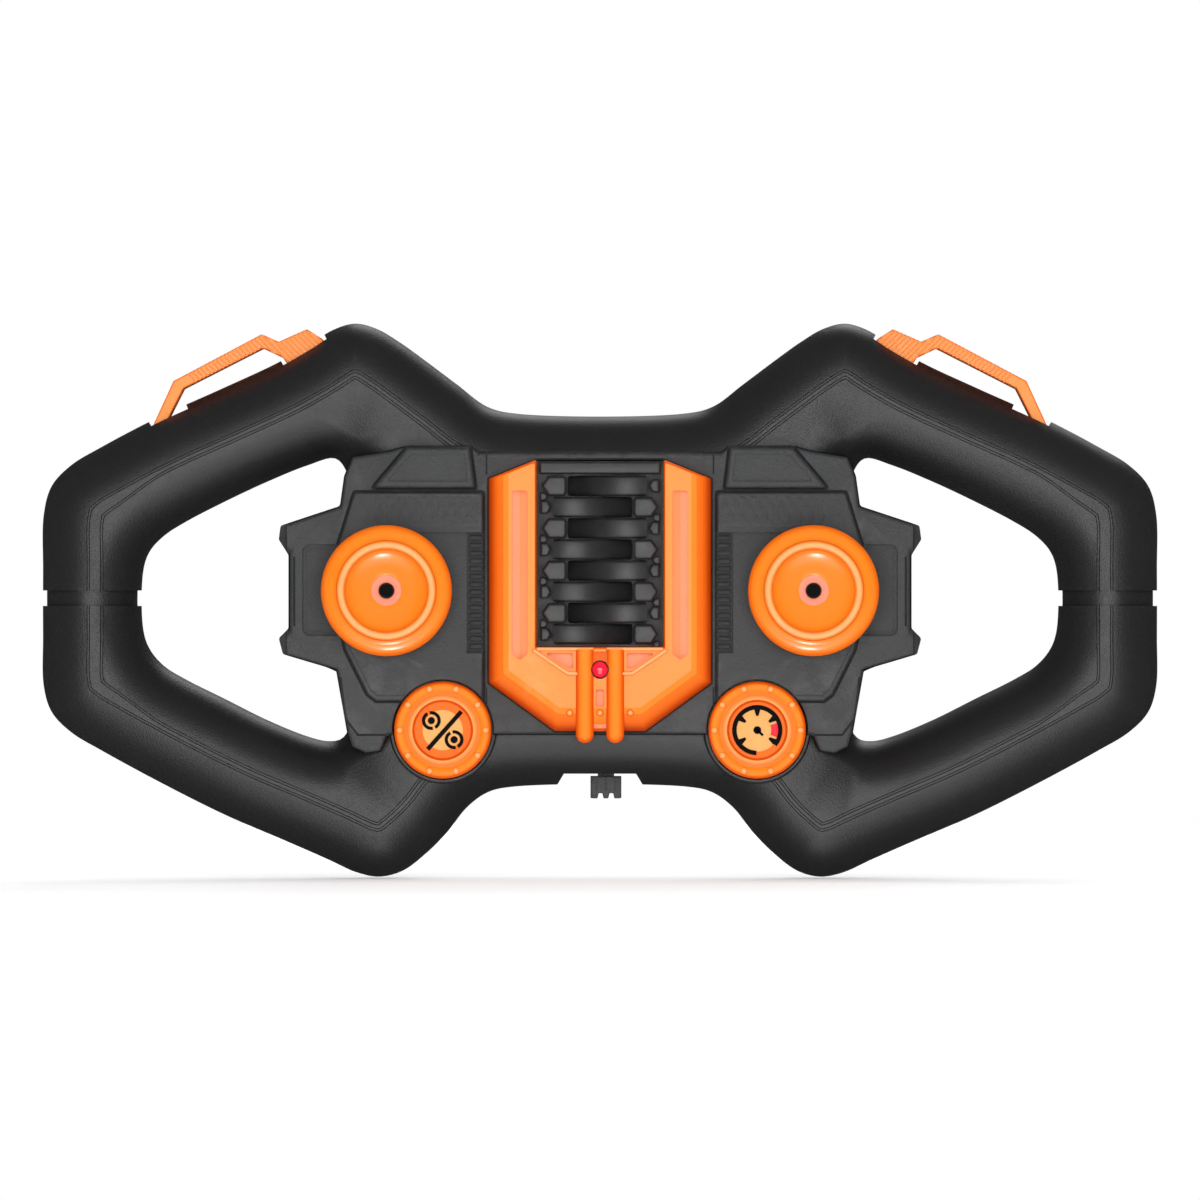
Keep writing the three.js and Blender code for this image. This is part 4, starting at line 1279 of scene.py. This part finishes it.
# each side has a V-shaped channel, cut in two halves, and a small pocket near the lamp
CHANNEL_OUTER = [(-15.5, -11.5), (-15.5, 21.2), (-16.7, 21.2), (-17.0, 20.9), (-17.0, -10.4)]
CHANNEL_INNER = [(-15.5, -11.5), (-14.0, -10.4), (-14.0, 20.9), (-14.3, 21.2), (-15.5, 21.2)]
POCKET = fillet(ccw([(-11.0, -10.15), (-5.15, -10.15), (-5.15, -13.2), (-6.2, -13.2)]), 0.3, 3)
cuts = [well(LAMP_AT, LAMP_HOLE_R, 10, 30, flare=0.1, segs=40)]
for side in (-1, 1):
    cuts += [
        wedge(sided(CHANNEL_OUTER, side), lambda x, z: 17.45 - 0.55 * (17.0 - abs(x)) / 1.5),
        wedge(sided(CHANNEL_INNER, side), lambda x, z: 16.9 + 0.55 * (15.5 - abs(x)) / 1.5),
        prism(sided(POCKET, side), 16.9),
    ]
cuts.append(prism(fillet(rect(-0.85, 0.85, -20.6, -17.2), 0.4), 17.0))
cuts.append(block(-1.15, 1.15, 17.2, BEYOND, -12.2, -9.9))
cut(bezel, *cuts)
adds = [rib(-RIB_X), rib(RIB_X)]
for side in (-1, 1):
    ledge = strip([(side * 12.9, -9.6), (side * 6.25, -14.1), (side * 1.9, -14.25)], 0.34)
    lip = [(side * x, z) for x, z in ((12.25, -9.05), (1.2, -9.05), (1.2, -9.75), (12.25, -9.75))]
    for outline, front_end in ((ledge, 18.45), (lip, 18.35)):
        adds.append(plate(outline, 16.5, front_end, bevel=0.2, radius=0.05, steps=2, segs=1))
for x in (-STUD_X, 0.0, STUD_X):
    adds.append(ball_cap((x, STUD_Z), 0.7, 17.9, 0.55, segs=20, rings=5, sink=0.8))
join(bezel, *adds)
cut(bezel, well(LAMP_AT, 1.72, 10, 30, flare=0.1, segs=40))  # clears the ribs from the hole
dress(bezel, "orange", "orange_plastic", "centre_bezel", smooth=34)
# painted highlight: flat faces that look straight forward are painted a lighter orange
paint(bezel, "lit_orange", lambda x, fwd, z, facing: (
    facing > 0.93 and 17.985 < fwd < 18.6 and not (z < -9 and abs(abs(x) - RIB_X) < 1.8)
))
# painted shade: the outer chamfer is painted darker, most towards its back
paint(bezel, "chamfer_shade_orange", lambda x, fwd, z, facing: (
    facing > 0.1 and 16.0 < fwd < 17.9 and (abs(x) > 17.6 or (z < -15 and abs(x) > 4.9))
))
paint(bezel, "salmon", lambda x, fwd, z, facing: (
    facing > 0.8 and 16.8 < fwd < 17.5 and abs(x) < 17.1 and (z > -13.5 or abs(x) < 1)
))
# painted shade: the inner half of each V-shaped channel is painted a darker salmon
paint(bezel, "salmon_shaded", lambda x, fwd, z, facing: (
    facing > 0.8 and 16.8 < fwd < 17.5 and 14.0 < abs(x) < 15.5 and z > -11.6
))
# painted highlight: the crests of the ledges, the lip and the studs are painted a paler orange
paint(bezel, "highlight_orange", lambda x, fwd, z, facing: facing > 0.6 and (
    (fwd > 18.3 and -14.8 < z < -9.3 and abs(x) > 4.7)
    or (fwd > 18.02 and z < -20.9 and min(abs(abs(x) - STUD_X), abs(x)) < 0.85)
))
# painted shade: the slot between the ribs is painted a darker orange
paint(bezel, "shaded_orange", lambda x, fwd, z, facing: (
    -12.9 < z < -9.8 and 16.8 < fwd < 17.4 and abs(x) < 1.3
))

# ------------------------------------------------------------------ slatted insert
INSERT_BACK = 9.0  # rear of the parts that stand on the base
SLAT_PITCH = 4.1
# Smaller parts of a row: outline about the row's middle, shift in z, then front, bevel,
# corner radius, bevel steps and corner segments of its plate.
ROW_PARTS = [
    ([(-11.3, 0), (-10.0, 1.9), (-6.9, 1.9), (-6.45, 1.3), (-6.45, -1.3), (-6.9, -1.9),
      (-10.0, -1.9)], 0, (16.2, 0.55, 0.25, 4, 3)),
    ([(9.45, 0), (10.1, 1.25), (11.5, 1.25), (11.5, -1.25), (10.1, -1.25)], 0,
     (15.3, 0.4, 0.2, 3, 2)),
    ([(-11.6, 0.75), (-10.6, 0.75), (-10.1, 0), (-10.6, -0.75), (-11.6, -0.75)], -2.05,
     (14.6, 0.3, 0.15, 2, 2)),
]


def slat(way, mid_z):
    """Curved slat along z; way is -1 where its high end lies to the other side."""
    curve = []
    for k in range(15):
        t = k / 14
        fwd = 10.3 + 5.3 * math.sin(math.pi * (0.04 + 0.62 * t)) ** 1.15
        curve.append((way * (-6.2 + 15.3 * t), fwd))
    profile = ccw(curve + [(curve[-1][0], INSERT_BACK), (curve[0][0], INSERT_BACK)])
    return loft([
        [(x, fwd, z) for x, fwd in offset(profile, inset)]
        for inset, z in round_ends(mid_z - 1.92, mid_z + 1.92, 0.5, 3)
    ])


insert = make("insert", block(-11.9, 11.9, 7.6, 9.4, -8.6, 26.9), CUTTER_WELD)
for row in range(8):
    mid_z = 22.15 - SLAT_PITCH * row
    way = -1 if row % 2 else 1
    join(insert, slat(way, mid_z))
    for outline, shift, sizes in ROW_PARTS:
        placed = [(way * x, mid_z + shift + z) for x, z in outline]
        join(insert, plate(placed, INSERT_BACK, *sizes))
head = rect(-11.7, 11.7, 24.5, 26.8)
join(insert, plate(head, INSERT_BACK, 15.6, bevel=0.4, radius=0.2, steps=3, segs=2))
dress(insert, "slat", "dark_plastic", "centre_insert", smooth=SMOOTH)

# ------------------------------------------------------------------ lamp
LAMP = [  # (radius, fwd)
    (0, 6.1), (1.5, 6.1), (1.5, 17.5), (1.47, 17.95), (1.34, 18.3), (1.1, 18.6), (0.75, 18.8),
    (0.38, 18.88), (0, 18.9),
]
lamp = make("lamp", turned(LAMP, LAMP_AT, 48), CUTTER_WELD)
dress(lamp, "lamp", "red_lens", "status_led", smooth=40)

# ------------------------------------------------------------------ power switch knob
KNOB_X = 1.15
KNOB_HIGH, KNOB_LOW, KNOB_DIP = -34.2, -38.5, -37.5
knob_outline = [(-3, KNOB_HIGH), (-3, KNOB_LOW + 0.1)]
for tooth in (-2.1, 0.0, 2.1):
    knob_outline += [(tooth - 0.45, KNOB_LOW), (tooth + 0.45, KNOB_LOW)]
    if tooth < 2.1:
        knob_outline += [(tooth + 0.7, KNOB_DIP), (tooth + 1.4, KNOB_DIP)]
knob_outline += [(3, KNOB_LOW + 0.1), (3, KNOB_HIGH)]
knob_outline = [(KNOB_X + x, z) for x, z in knob_outline]
knob = make("power_knob", soft_prism(knob_outline, -3, 3, 0.22, 0.1, steps=2, segs=2))
join(knob, block(KNOB_X - 1.6, KNOB_X + 1.6, -1.6, 1.6, -34.6, -30.7))
cut(knob, *[
    groove([(KNOB_X + x, -34.6), (KNOB_X + x, -36.9)], 0.22, 2.6) for x in (-1.75, 0, 1.75)
])
dress(
    knob, "grey", "dark_plastic", "power_switch_knob", body="power_slider", smooth=SMOOTH
)

# ------------------------------------------------------------------ sticks
# thumb cap, (radius, distance forward of the pivot): up the outside, then down into the dish
CAP = [
    (3.1, 15.0), (4.2, 15.0), (4.55, 15.25), (4.7, 15.8), (4.95, 18.4), (5.15, 18.95),
    (5.6, 19.2), (11.2, 19.65), (11.9, 19.85), (12.35, 20.15), (12.6, 20.6), (12.65, 21.1),
    (12.6, 21.6), (12.4, 22.0), (12.0, 22.35), (11.4, 22.55), (10.6, 22.68), (9.75, 22.76),
    (9.62, 22.86), (9.56, 23.1), (9.45, 23.35), (9.2, 23.53), (8.8, 23.58), (8.4, 23.53),
    (8.15, 23.35), (8.02, 23.1), (7.95, 22.8), (7.7, 22.62), (7.0, 22.42), (6.0, 22.22),
    (5.0, 22.1), (4.0, 22.05), (3.1, 22.06), (2.9, 21.98), (1.75, 21.25), (1.55, 21.0),
    (1.5, 20.7), (1.5, 19.8), (3.1, 19.8), (3.1, 15.0),
]
STEM_R = 2.9
SKIRT_R, SKIRT_INNER_R = 10.3, 8.8
SKIRT_EDGE = math.radians(72)


def arc_points(radius, start, end, segs):
    angles = [start + (end - start) * k / segs for k in range(segs + 1)]
    return [(radius * math.sin(a), radius * math.cos(a)) for a in angles]


# post with a domed skirt and four ridges, in the same columns
POST = [(0, -4.4), (1.2, -4.4), (1.2, 0), (2.2, 0), (2.2, 8.52)]
POST += arc_points(SKIRT_INNER_R, math.asin(2.3 / SKIRT_INNER_R), SKIRT_EDGE, 12)
POST += arc_points(SKIRT_R, SKIRT_EDGE, math.asin(STEM_R / SKIRT_R), 24)
for ridge in (10.6, 11.5, 12.4, 13.3):
    POST += [
        (STEM_R, ridge), (3.25, ridge + 0.25), (3.25, ridge + 0.5), (STEM_R, ridge + 0.75)
    ]
POST += [(STEM_R, 14.4), (STEM_R, 19.4), (0, 19.4)]


def at_pivot(profile):
    return [(radius, fwd + PIVOT_FWD) for radius, fwd in profile]


def pivot_cylinder(side, radius, half, segs=40):
    """Cylinder across the pivot: along x on the left stick, along z on the right one."""
    mid_x, mid_z = STICKS[side]
    rings = []
    for end in (-half, half):
        if side == "left":
            ring = circle((PIVOT_FWD, mid_z), radius, segs)
            rings.append([(mid_x + end, fwd, z) for fwd, z in ring])
        else:
            ring = circle((PIVOT_FWD, mid_x), radius, segs)
            rings.append([(x, fwd, mid_z + end) for fwd, x in ring])
    return loft(rings)


caps = []
for side, centre in STICKS.items():
    body = f"{side}_stick"
    cap = make(f"{side}_thumb_cap", turned(at_pivot(CAP), centre, 128))
    dress(cap, "cap_orange", "orange_plastic", f"{side}_stick_cap", body=body, smooth=35)
    caps.append(cap)
    # painted highlight: the crest of the ring is painted a paler orange
    paint(cap, "highlight_orange", lambda x, fwd, z, facing: (
        fwd > 24.2 and 7.9 < math.dist((x, z), centre) < 9.6
    ))
    paint(cap, "hub_pink", lambda x, fwd, z, facing: (
        fwd > 22 and 1.52 < math.dist((x, z), centre) < 2.8
    ))
    # painted shade: the crease at the foot of the ring is painted a darker orange
    paint(cap, "shaded_orange", lambda x, fwd, z, facing: (
        23.3 < fwd < 23.9 and 9.5 < math.dist((x, z), centre) < 9.7
    ))
    post = make(f"{side}_thumb_post", turned(at_pivot(POST), centre, 72))
    join(post, pivot_cylinder(side, 2.6, 2.4))
    cut(
        post,
        pivot_cylinder(side, 1.12, 6.0),
        cylinder(0.95, 12 + PIVOT_FWD, 22, centre, 24),
    )
    dress(post, "grey_low", "dark_plastic", f"{side}_stick_post", body=body, smooth=SMOOTH)

# ------------------------------------------------------------------ push buttons
BUTTON = [  # (radius, fwd)
    (0, 8.8), (2.6, 8.8), (2.6, 14.6), (7.9, 14.6), (7.9, 7.7), (9.25, 7.7), (BUTTON_R, 7.9),
    (BUTTON_R, 16.3), (9.34, 16.65), (9.15, 16.95), (8.85, 17.15), (8.4, 17.25), (7.9, 17.2),
    (7.5, 17.08), (7.2, 16.98), (7.0, 17.05), (6.75, 17.2), (6.4, 17.34), (6.1, 17.38),
    (5.88, 17.3), (5.72, 17.1), (5.6, 16.75), (5.4, 16.62), (0, 16.6),
]
for side, centre in BUTTONS.items():
    button = make(f"{side}_push_button", turned(BUTTON, centre, 112))
    bumps = Shape()
    for k in range(10):
        a = math.radians(18 + 36 * k)
        place = (centre[0] + 8.3 * math.sin(a), centre[1] + 8.3 * math.cos(a))
        bumps.merge(ball_cap(place, 0.72, 17.1, 0.42, segs=18, rings=4, sink=0.5))
    join(button, bumps)
    dress(
        button, "orange", "orange_plastic", f"{side}_button_cap", body=f"{side}_button",
        smooth=SMOOTH,
    )
    # painted shade: the sunken centre round the symbol is painted a darker orange
    paint(button, "shaded_orange", lambda x, fwd, z, facing: (
        fwd > 16.4 and math.dist((x, z), centre) < 5.65 and facing > 0.6
    ))
    # painted highlight: the raised inner ring is painted a lighter orange
    paint(button, "lit_orange", lambda x, fwd, z, facing: (
        fwd > 16.9 and 5.65 < math.dist((x, z), centre) < 7.2 and facing > 0.5
    ))
    # painted highlight: the ring's crest and the tops of the rim bumps are painted a paler orange
    paint(button, "highlight_orange", lambda x, fwd, z, facing: (
        (5.85 < math.dist((x, z), centre) < 6.2 and fwd > 17.1)
        or (fwd > 17.28 and math.dist((x, z), centre) > 7.4)
    ))

# ------------------------------------------------------------------ button symbols
GROUND_FRONT, MARK_FRONT = 16.68, 16.82


def symbol(name, outlines, material, side, front_end=MARK_FRONT):
    shape = Shape()
    for outline in outlines:
        shape.merge(plate(outline, 16.45, front_end, bevel=0.06, radius=0.02, steps=2, segs=1))
    slot = "dark_plastic" if material == "ink" else "orange_plastic"
    dress(make(name, shape), material, slot, body=f"{side}_button", smooth=30)


def ring_part(centre, inner, outer, start, end, segs):
    """Outline of part of a ring, between two angles in degrees."""
    angles = [math.radians(start + (end - start) * k / segs) for k in range(segs + 1)]
    sweep = [(outer, a) for a in angles] + [(inner, a) for a in reversed(angles)]
    return [(centre[0] + r * math.cos(a), centre[1] + r * math.sin(a)) for r, a in sweep]


# left: a slash between two ringed dots
centre = mid_x, mid_z = BUTTONS["left"]
symbol("left_symbol_ground", [circle(centre, 3.9, 64)], "pale", "left", GROUND_FRONT)
marks = [strip([(mid_x - 2.9, mid_z - 3.7), (mid_x + 3.6, mid_z + 3.6)], 0.42)]
for x, z in ((-2.2, 1.85), (2.2, -1.85)):
    dot = (mid_x + x, mid_z + z)
    marks.append(circle(dot, 0.7, 20))
    for start in (-70, 110):  # each ring is two arcs
        marks.append(ring_part(dot, 1.2, 1.82, start + 9, start + 171, 24))
symbol("left_symbol", marks, "ink", "left")

# right: a dial with tapered ticks, a needle and a red sector
centre = mid_x, mid_z = BUTTONS["right"]
symbol("right_symbol_ground", [circle(centre, 4.15, 64)], "pale", "right", GROUND_FRONT)
marks = [ring_part(centre, 4.0, 4.85, -40, 268, 64), circle(centre, 0.75, 24)]
TICK = [(2.75, 0.22), (4.1, 0.62), (4.1, -0.62), (2.75, -0.22)]  # (radius, across)
for angle in (90, 145, 35, 215, -34):
    cos, sin = math.cos(math.radians(angle)), math.sin(math.radians(angle))
    marks.append([
        (mid_x + out * cos - across * sin, mid_z + out * sin + across * cos)
        for out, across in TICK
    ])
NEEDLE = 0.75  # radians below the horizontal
marks.append(strip([
    (mid_x + out * math.cos(NEEDLE), mid_z - out * math.sin(NEEDLE)) for out in (-0.5, 1.5)
], 0.24))
symbol("right_symbol", marks, "ink", "right")
symbol("right_symbol_red", [ring_part(centre, 2.7, 4.05, -20, 20, 14)], "red_ink", "right")

# ------------------------------------------------------------------ shoulder keys
SHOULDER_KEY = [  # (along the sloping edge, outwards)
    (-0.3, -4.5), (-0.3, 0), (7.1, 5.9), (26.5, 6.3), (28.8, 3.5), (34.8, 3.2), (36.6, 0.2),
    (36.4, -4.5), (35.2, -6), (32.8, -6), (28.6, -3.2), (28.1, 0.4), (25.5, 3.76), (8.2, 3.7),
    (2.4, -0.6), (2.2, -4.5),
]
key_outline = [on_edge(along, out) for along, out in SHOULDER_KEY]
key = make("left_shoulder", soft_prism(key_outline, -5, 5, 0.35, 0.5, steps=3, segs=4))
hatches = [(Shape(), 4.78, 6.0), (Shape(), -6.0, -4.78)]  # front and back faces
for k in range(60):
    x = -92 + 1.15 * k  # lines lean from the upper left to the lower right
    line = strip([(x, 56.0), (x + 26.0, 30.0)], 0.17)
    for hatch, back, front_end in hatches:
        hatch.merge(prism(line, back, front_end))
pin_hole = cylinder(0.95, -8, 8, on_edge(34, -3.5), 32)
cut(key, hatches[0][0], hatches[1][0], pin_hole)
shade(key, 34)
right_key = mirror_object(key, "right_shoulder")
for obj, side in ((key, "left"), (right_key, "right")):
    dress(
        obj, "key_orange", "orange_plastic", f"{side}_trigger", body=f"{side}_shoulder_key"
    )

# ------------------------------------------------------------------ battery cover
COVER = [
    (-29.6, -16.6), (-5.7, -16.6), (-5.7, -23.8), (5.7, -23.8), (5.7, -16.6), (29.6, -16.6),
    (29.6, 16.6), (-29.6, 16.6),
]
COVER_HOLE = [  # (radius, distance to the back)
    (0, 12), (1.5, 12), (1.5, 14.2), (2.9, 14.2), (2.9, 15.1), (3.2, 15.55), (3.2, 17), (0, 17),
]
cover_plate = plate(COVER, 13.3, 15.5, bevel=0.35, radius=0.8, steps=3, segs=5)
cover = make("battery_lid", towards_back(cover_plate))
cuts = [towards_back(turned(COVER_HOLE, LID_SCREW, 48))]
for k in range(6):  # grip slots that shorten upwards
    z = 3.4 + 2.0 * k
    half = 9.5 - 1.1 * k
    slot = fillet(rect(-half, half, z - 0.45, z + 0.45), 0.44)
    cuts.append(towards_back(prism(slot, 14.9, 16)))
border = rect(-27.6, 27.6, -14.6, 14.6)
outer = fillet(border, 1.2, 5)
inner = fillet(offset(border, 0.45), 0.9, 5)
cuts.append(loft([
    at_level(outer, -15.2), at_level(outer, -16.2), at_level(inner, -16.2),
    at_level(inner, -15.2), at_level(outer, -15.2),
], capped=False))
cut(cover, *cuts)
dress(cover, "black", "black_plastic", "battery_cover", body="battery_door", smooth=30)

# ------------------------------------------------------------------ screws
HEAD_R, SHANK_R = 2.5, 1.2


def screw(name, node, place, top, head_low, tip, body):
    """Cross-head screw that looks to the back: top, head_low and tip are measured that way."""
    rise = top - head_low
    profile = [(0, tip), (SHANK_R * 0.55, tip), (SHANK_R, tip + 0.8)]
    thread = tip + 1.0
    while thread < head_low - 0.9:
        profile += [(SHANK_R, thread), (SHANK_R * 0.8, thread + 0.25), (SHANK_R, thread + 0.5)]
        thread += 0.7
    profile += [
        (SHANK_R, head_low), (HEAD_R - 0.1, head_low), (HEAD_R, head_low + 0.12),
        (HEAD_R, head_low + rise * 0.4), (HEAD_R - 0.2, head_low + rise * 0.7),
        (HEAD_R - 0.7, head_low + rise * 0.92), (HEAD_R - 1.3, top), (0, top),
    ]
    obj = make(name, towards_back(turned(profile, place, 48)))
    floor = -(top - min(1.1, rise * 0.8))
    x, z = place
    for wide, tall in ((1.45, 0.28), (0.28, 1.45)):
        foot = rect(x - wide * 0.5, x + wide * 0.5, z - tall * 0.6, z + tall * 0.6)
        mouth = rect(x - wide, x + wide, z - tall, z + tall)
        cut(obj, loft([at_level(foot, floor), at_level(mouth, -(top + 0.5))]))
    dress(obj, "steel", "steel", node, body=body, smooth=34)


for i, place in enumerate(SCREWS, 1):
    screw(
        f"shell_screw_{i}", f"housing_screw_{i}", place, top=7.4, head_low=5.3, tip=-6.6,
        body="housing",
    )
screw(
    "lid_screw", "battery_cover_screw", LID_SCREW, top=15.4, head_low=14.5, tip=6.0,
    body="battery_door",
)

# ------------------------------------------------------------------ cells
CELL = [  # (radius, x), from the flat end to the end with the nub
    (0, -24.95), (4.6, -24.95), (4.8, -25.0), (6.5, -25.25), (7.0, -25.15), (7.25, -24.7),
    (7.25, 22.7), (7.1, 23.2), (6.8, 23.5), (6.2, 23.75), (3.0, 23.85), (2.75, 24.0),
    (2.7, 25.0), (2.5, 25.2), (2.2, 25.25), (0, 25.25),
]
for name, way in (("battery_upper", 1), ("battery_lower", -1)):
    rings = [
        [(way * along, fwd, z) for fwd, z in circle((-5.7, way * 7.4), radius, 64)]
        for radius, along in CELL
    ]
    cell = make(f"{name}_cell", loft(rings, capped=False))
    dress(cell, "wrap", "cell_wrap", name, smooth=SMOOTH)
    paint(cell, "contact", lambda x, fwd, z, facing: way * x > 23.9 or way * x < -24.6)

# ------------------------------------------------------------------ frame nodes that stay
STAY = {
    "steel": [
        "radio_module", "power_switch_body", "left_stick_pin", "right_stick_pin",
        "left_stick_bracket", "right_stick_bracket", "left_stick_spring",
        "right_stick_spring", "left_trigger_pin", "right_trigger_pin",
    ],
    "contact": ["battery_plate_contact", "battery_spring_contact"],
    "board": ["main_board"],
    "rubber": ["left_button_pad", "right_button_pad"],
    "cable": ["left_trigger_lead", "right_trigger_lead", "antenna_wire"],
    "dark": ["left_trigger_switch", "right_trigger_switch"],
    "void": ["left_stick_screw", "right_stick_screw"],
}
for material, names in STAY.items():
    for name in names:
        set_material(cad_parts[name], material)

# ------------------------------------------------------------------ floor (metres from here on)
low, high = Vector(cad_box[0]), Vector(cad_box[1])
centre = (low + high) / 2
floor_mesh = bpy.data.meshes.new("floor")
bm = bmesh.new()
bmesh.ops.create_circle(bm, cap_ends=True, radius=0.62, segments=96)
bm.to_mesh(floor_mesh)
bm.free()
floor = bpy.data.objects.new("floor", floor_mesh)
floor.location = (0, 0, low.z - 0.0002)
scene.collection.objects.link(floor)
floor_paint, tree, shader = new_material("floor_paint")
cloud = noise(tree, object_coords(tree), scale=9.0, detail=4.0)
colour = mix(tree, cloud, (0.88, 0.88, 0.88), (0.91, 0.91, 0.91))
tree.links.new(colour, shader.inputs["Base Color"])
set_inputs(shader, {
    "Roughness": 0.85, "Specular IOR Level": 0.1,
    "Emission Color": (1, 1, 1, 1), "Emission Strength": 0.3,
})
floor_mesh.materials.append(floor_paint)
floor.visible_glossy = False
floor.visible_shadow = False

# ------------------------------------------------------------------ world
world = bpy.data.worlds.new("studio")
world.use_nodes = True
scene.world = world
tree = world.node_tree
tree.nodes.clear()
output = add_node(tree, "OutputWorld")
seen = add_node(tree, "Background", {0: (1, 1, 1, 1), 1: 1.0})  # by the camera
lit = add_node(tree, "Background", {0: (0.97, 0.98, 1.0, 1), 1: 0.5})  # by other rays
shine = add_node(tree, "Background", {0: (0.97, 0.98, 1.0, 1), 1: 0.06})  # in reflections
path = add_node(tree, "LightPath")
for_glossy = add_node(tree, "MixShader")
for_camera = add_node(tree, "MixShader")
for source, target in (
    (path.outputs["Is Glossy Ray"], for_glossy.inputs[0]),
    (lit.outputs[0], for_glossy.inputs[1]),
    (shine.outputs[0], for_glossy.inputs[2]),
    (path.outputs["Is Camera Ray"], for_camera.inputs[0]),
    (for_glossy.outputs[0], for_camera.inputs[1]),
    (seen.outputs[0], for_camera.inputs[2]),
    (for_camera.outputs[0], output.inputs[0]),
):
    tree.links.new(source, target)


# ------------------------------------------------------------------ lights
def area(name, place, size, power, size_y=None, glossy=True, diffuse=True):
    """Area light aimed at the middle of the controller."""
    light = bpy.data.lights.new(name, "AREA")
    light.shape = "RECTANGLE"
    light.size = size
    light.size_y = size_y or size
    light.energy = power
    obj = bpy.data.objects.new(name, light)
    obj.location = place
    obj.rotation_euler = (centre - Vector(place)).to_track_quat("-Z", "Y").to_euler()
    obj.visible_glossy = glossy
    obj.visible_diffuse = diffuse
    obj.visible_camera = False
    scene.collection.objects.link(obj)
    return obj


# soft front light for the colours, strips seen only in the sheen, weaker lights round about
area("front_colour", (0.0, -1.35, 0.3), size=0.9, power=9.5, glossy=False)
sheen = area(
    "front_sheen", (0.0, -1.5, 0.03), size=1.0, power=6.5, size_y=0.4, diffuse=False
)
area("low_sheen", (0.0, -1.4, -0.5), size=1.0, power=4.5, size_y=0.4, diffuse=False)
area("under_sheen", (0.0, -1.1, -1.1), size=1.0, power=4.0, size_y=0.45, diffuse=False)
area("side_left", (-1.1, 0.4, 0.45), size=0.5, power=1.6, size_y=0.8, glossy=False)
area("side_right", (1.1, 0.4, 0.45), size=0.5, power=1.6, size_y=0.8, glossy=False)
area("top", (0.0, 0.1, 1.3), size=1.0, power=1.6, glossy=False)
area("back", (0.4, 1.3, 0.6), size=1.1, power=13.0, glossy=False)
area("back_sheen", (0.2, 1.15, 1.0), size=0.8, power=4.0, diffuse=False)

# the dished thumb caps take their glint from a small light low in front, not from the sheen
glint = area("glint", (0.0, -1.3, -0.64), size=0.16, power=11.0, diffuse=False)
for light, state in ((glint, "INCLUDE"), (sheen, "EXCLUDE")):
    group = bpy.data.collections.new(f"{light.name}_receivers")
    for cap in caps:
        group.objects.link(cap)
    for entry in group.collection_objects:
        entry.light_linking.link_state = state
    light.light_linking.receiver_collection = group

# ------------------------------------------------------------------ camera
FILL = 0.93  # share of the picture's width that the controller takes
camera = bpy.data.cameras.new("camera")
camera.lens = 400
camera.sensor_width = 36
camera.clip_start = 0.01
camera_object = bpy.data.objects.new("camera", camera)
distance = (high.x - low.x) / FILL * camera.lens / camera.sensor_width
camera_object.location = (centre.x, centre.y - distance, centre.z)
camera_object.rotation_euler = (math.radians(90), 0, 0)
scene.collection.objects.link(camera_object)
scene.camera = camera_object
scene.view_settings.view_transform = "Standard"

bpy.context.view_layer.update()
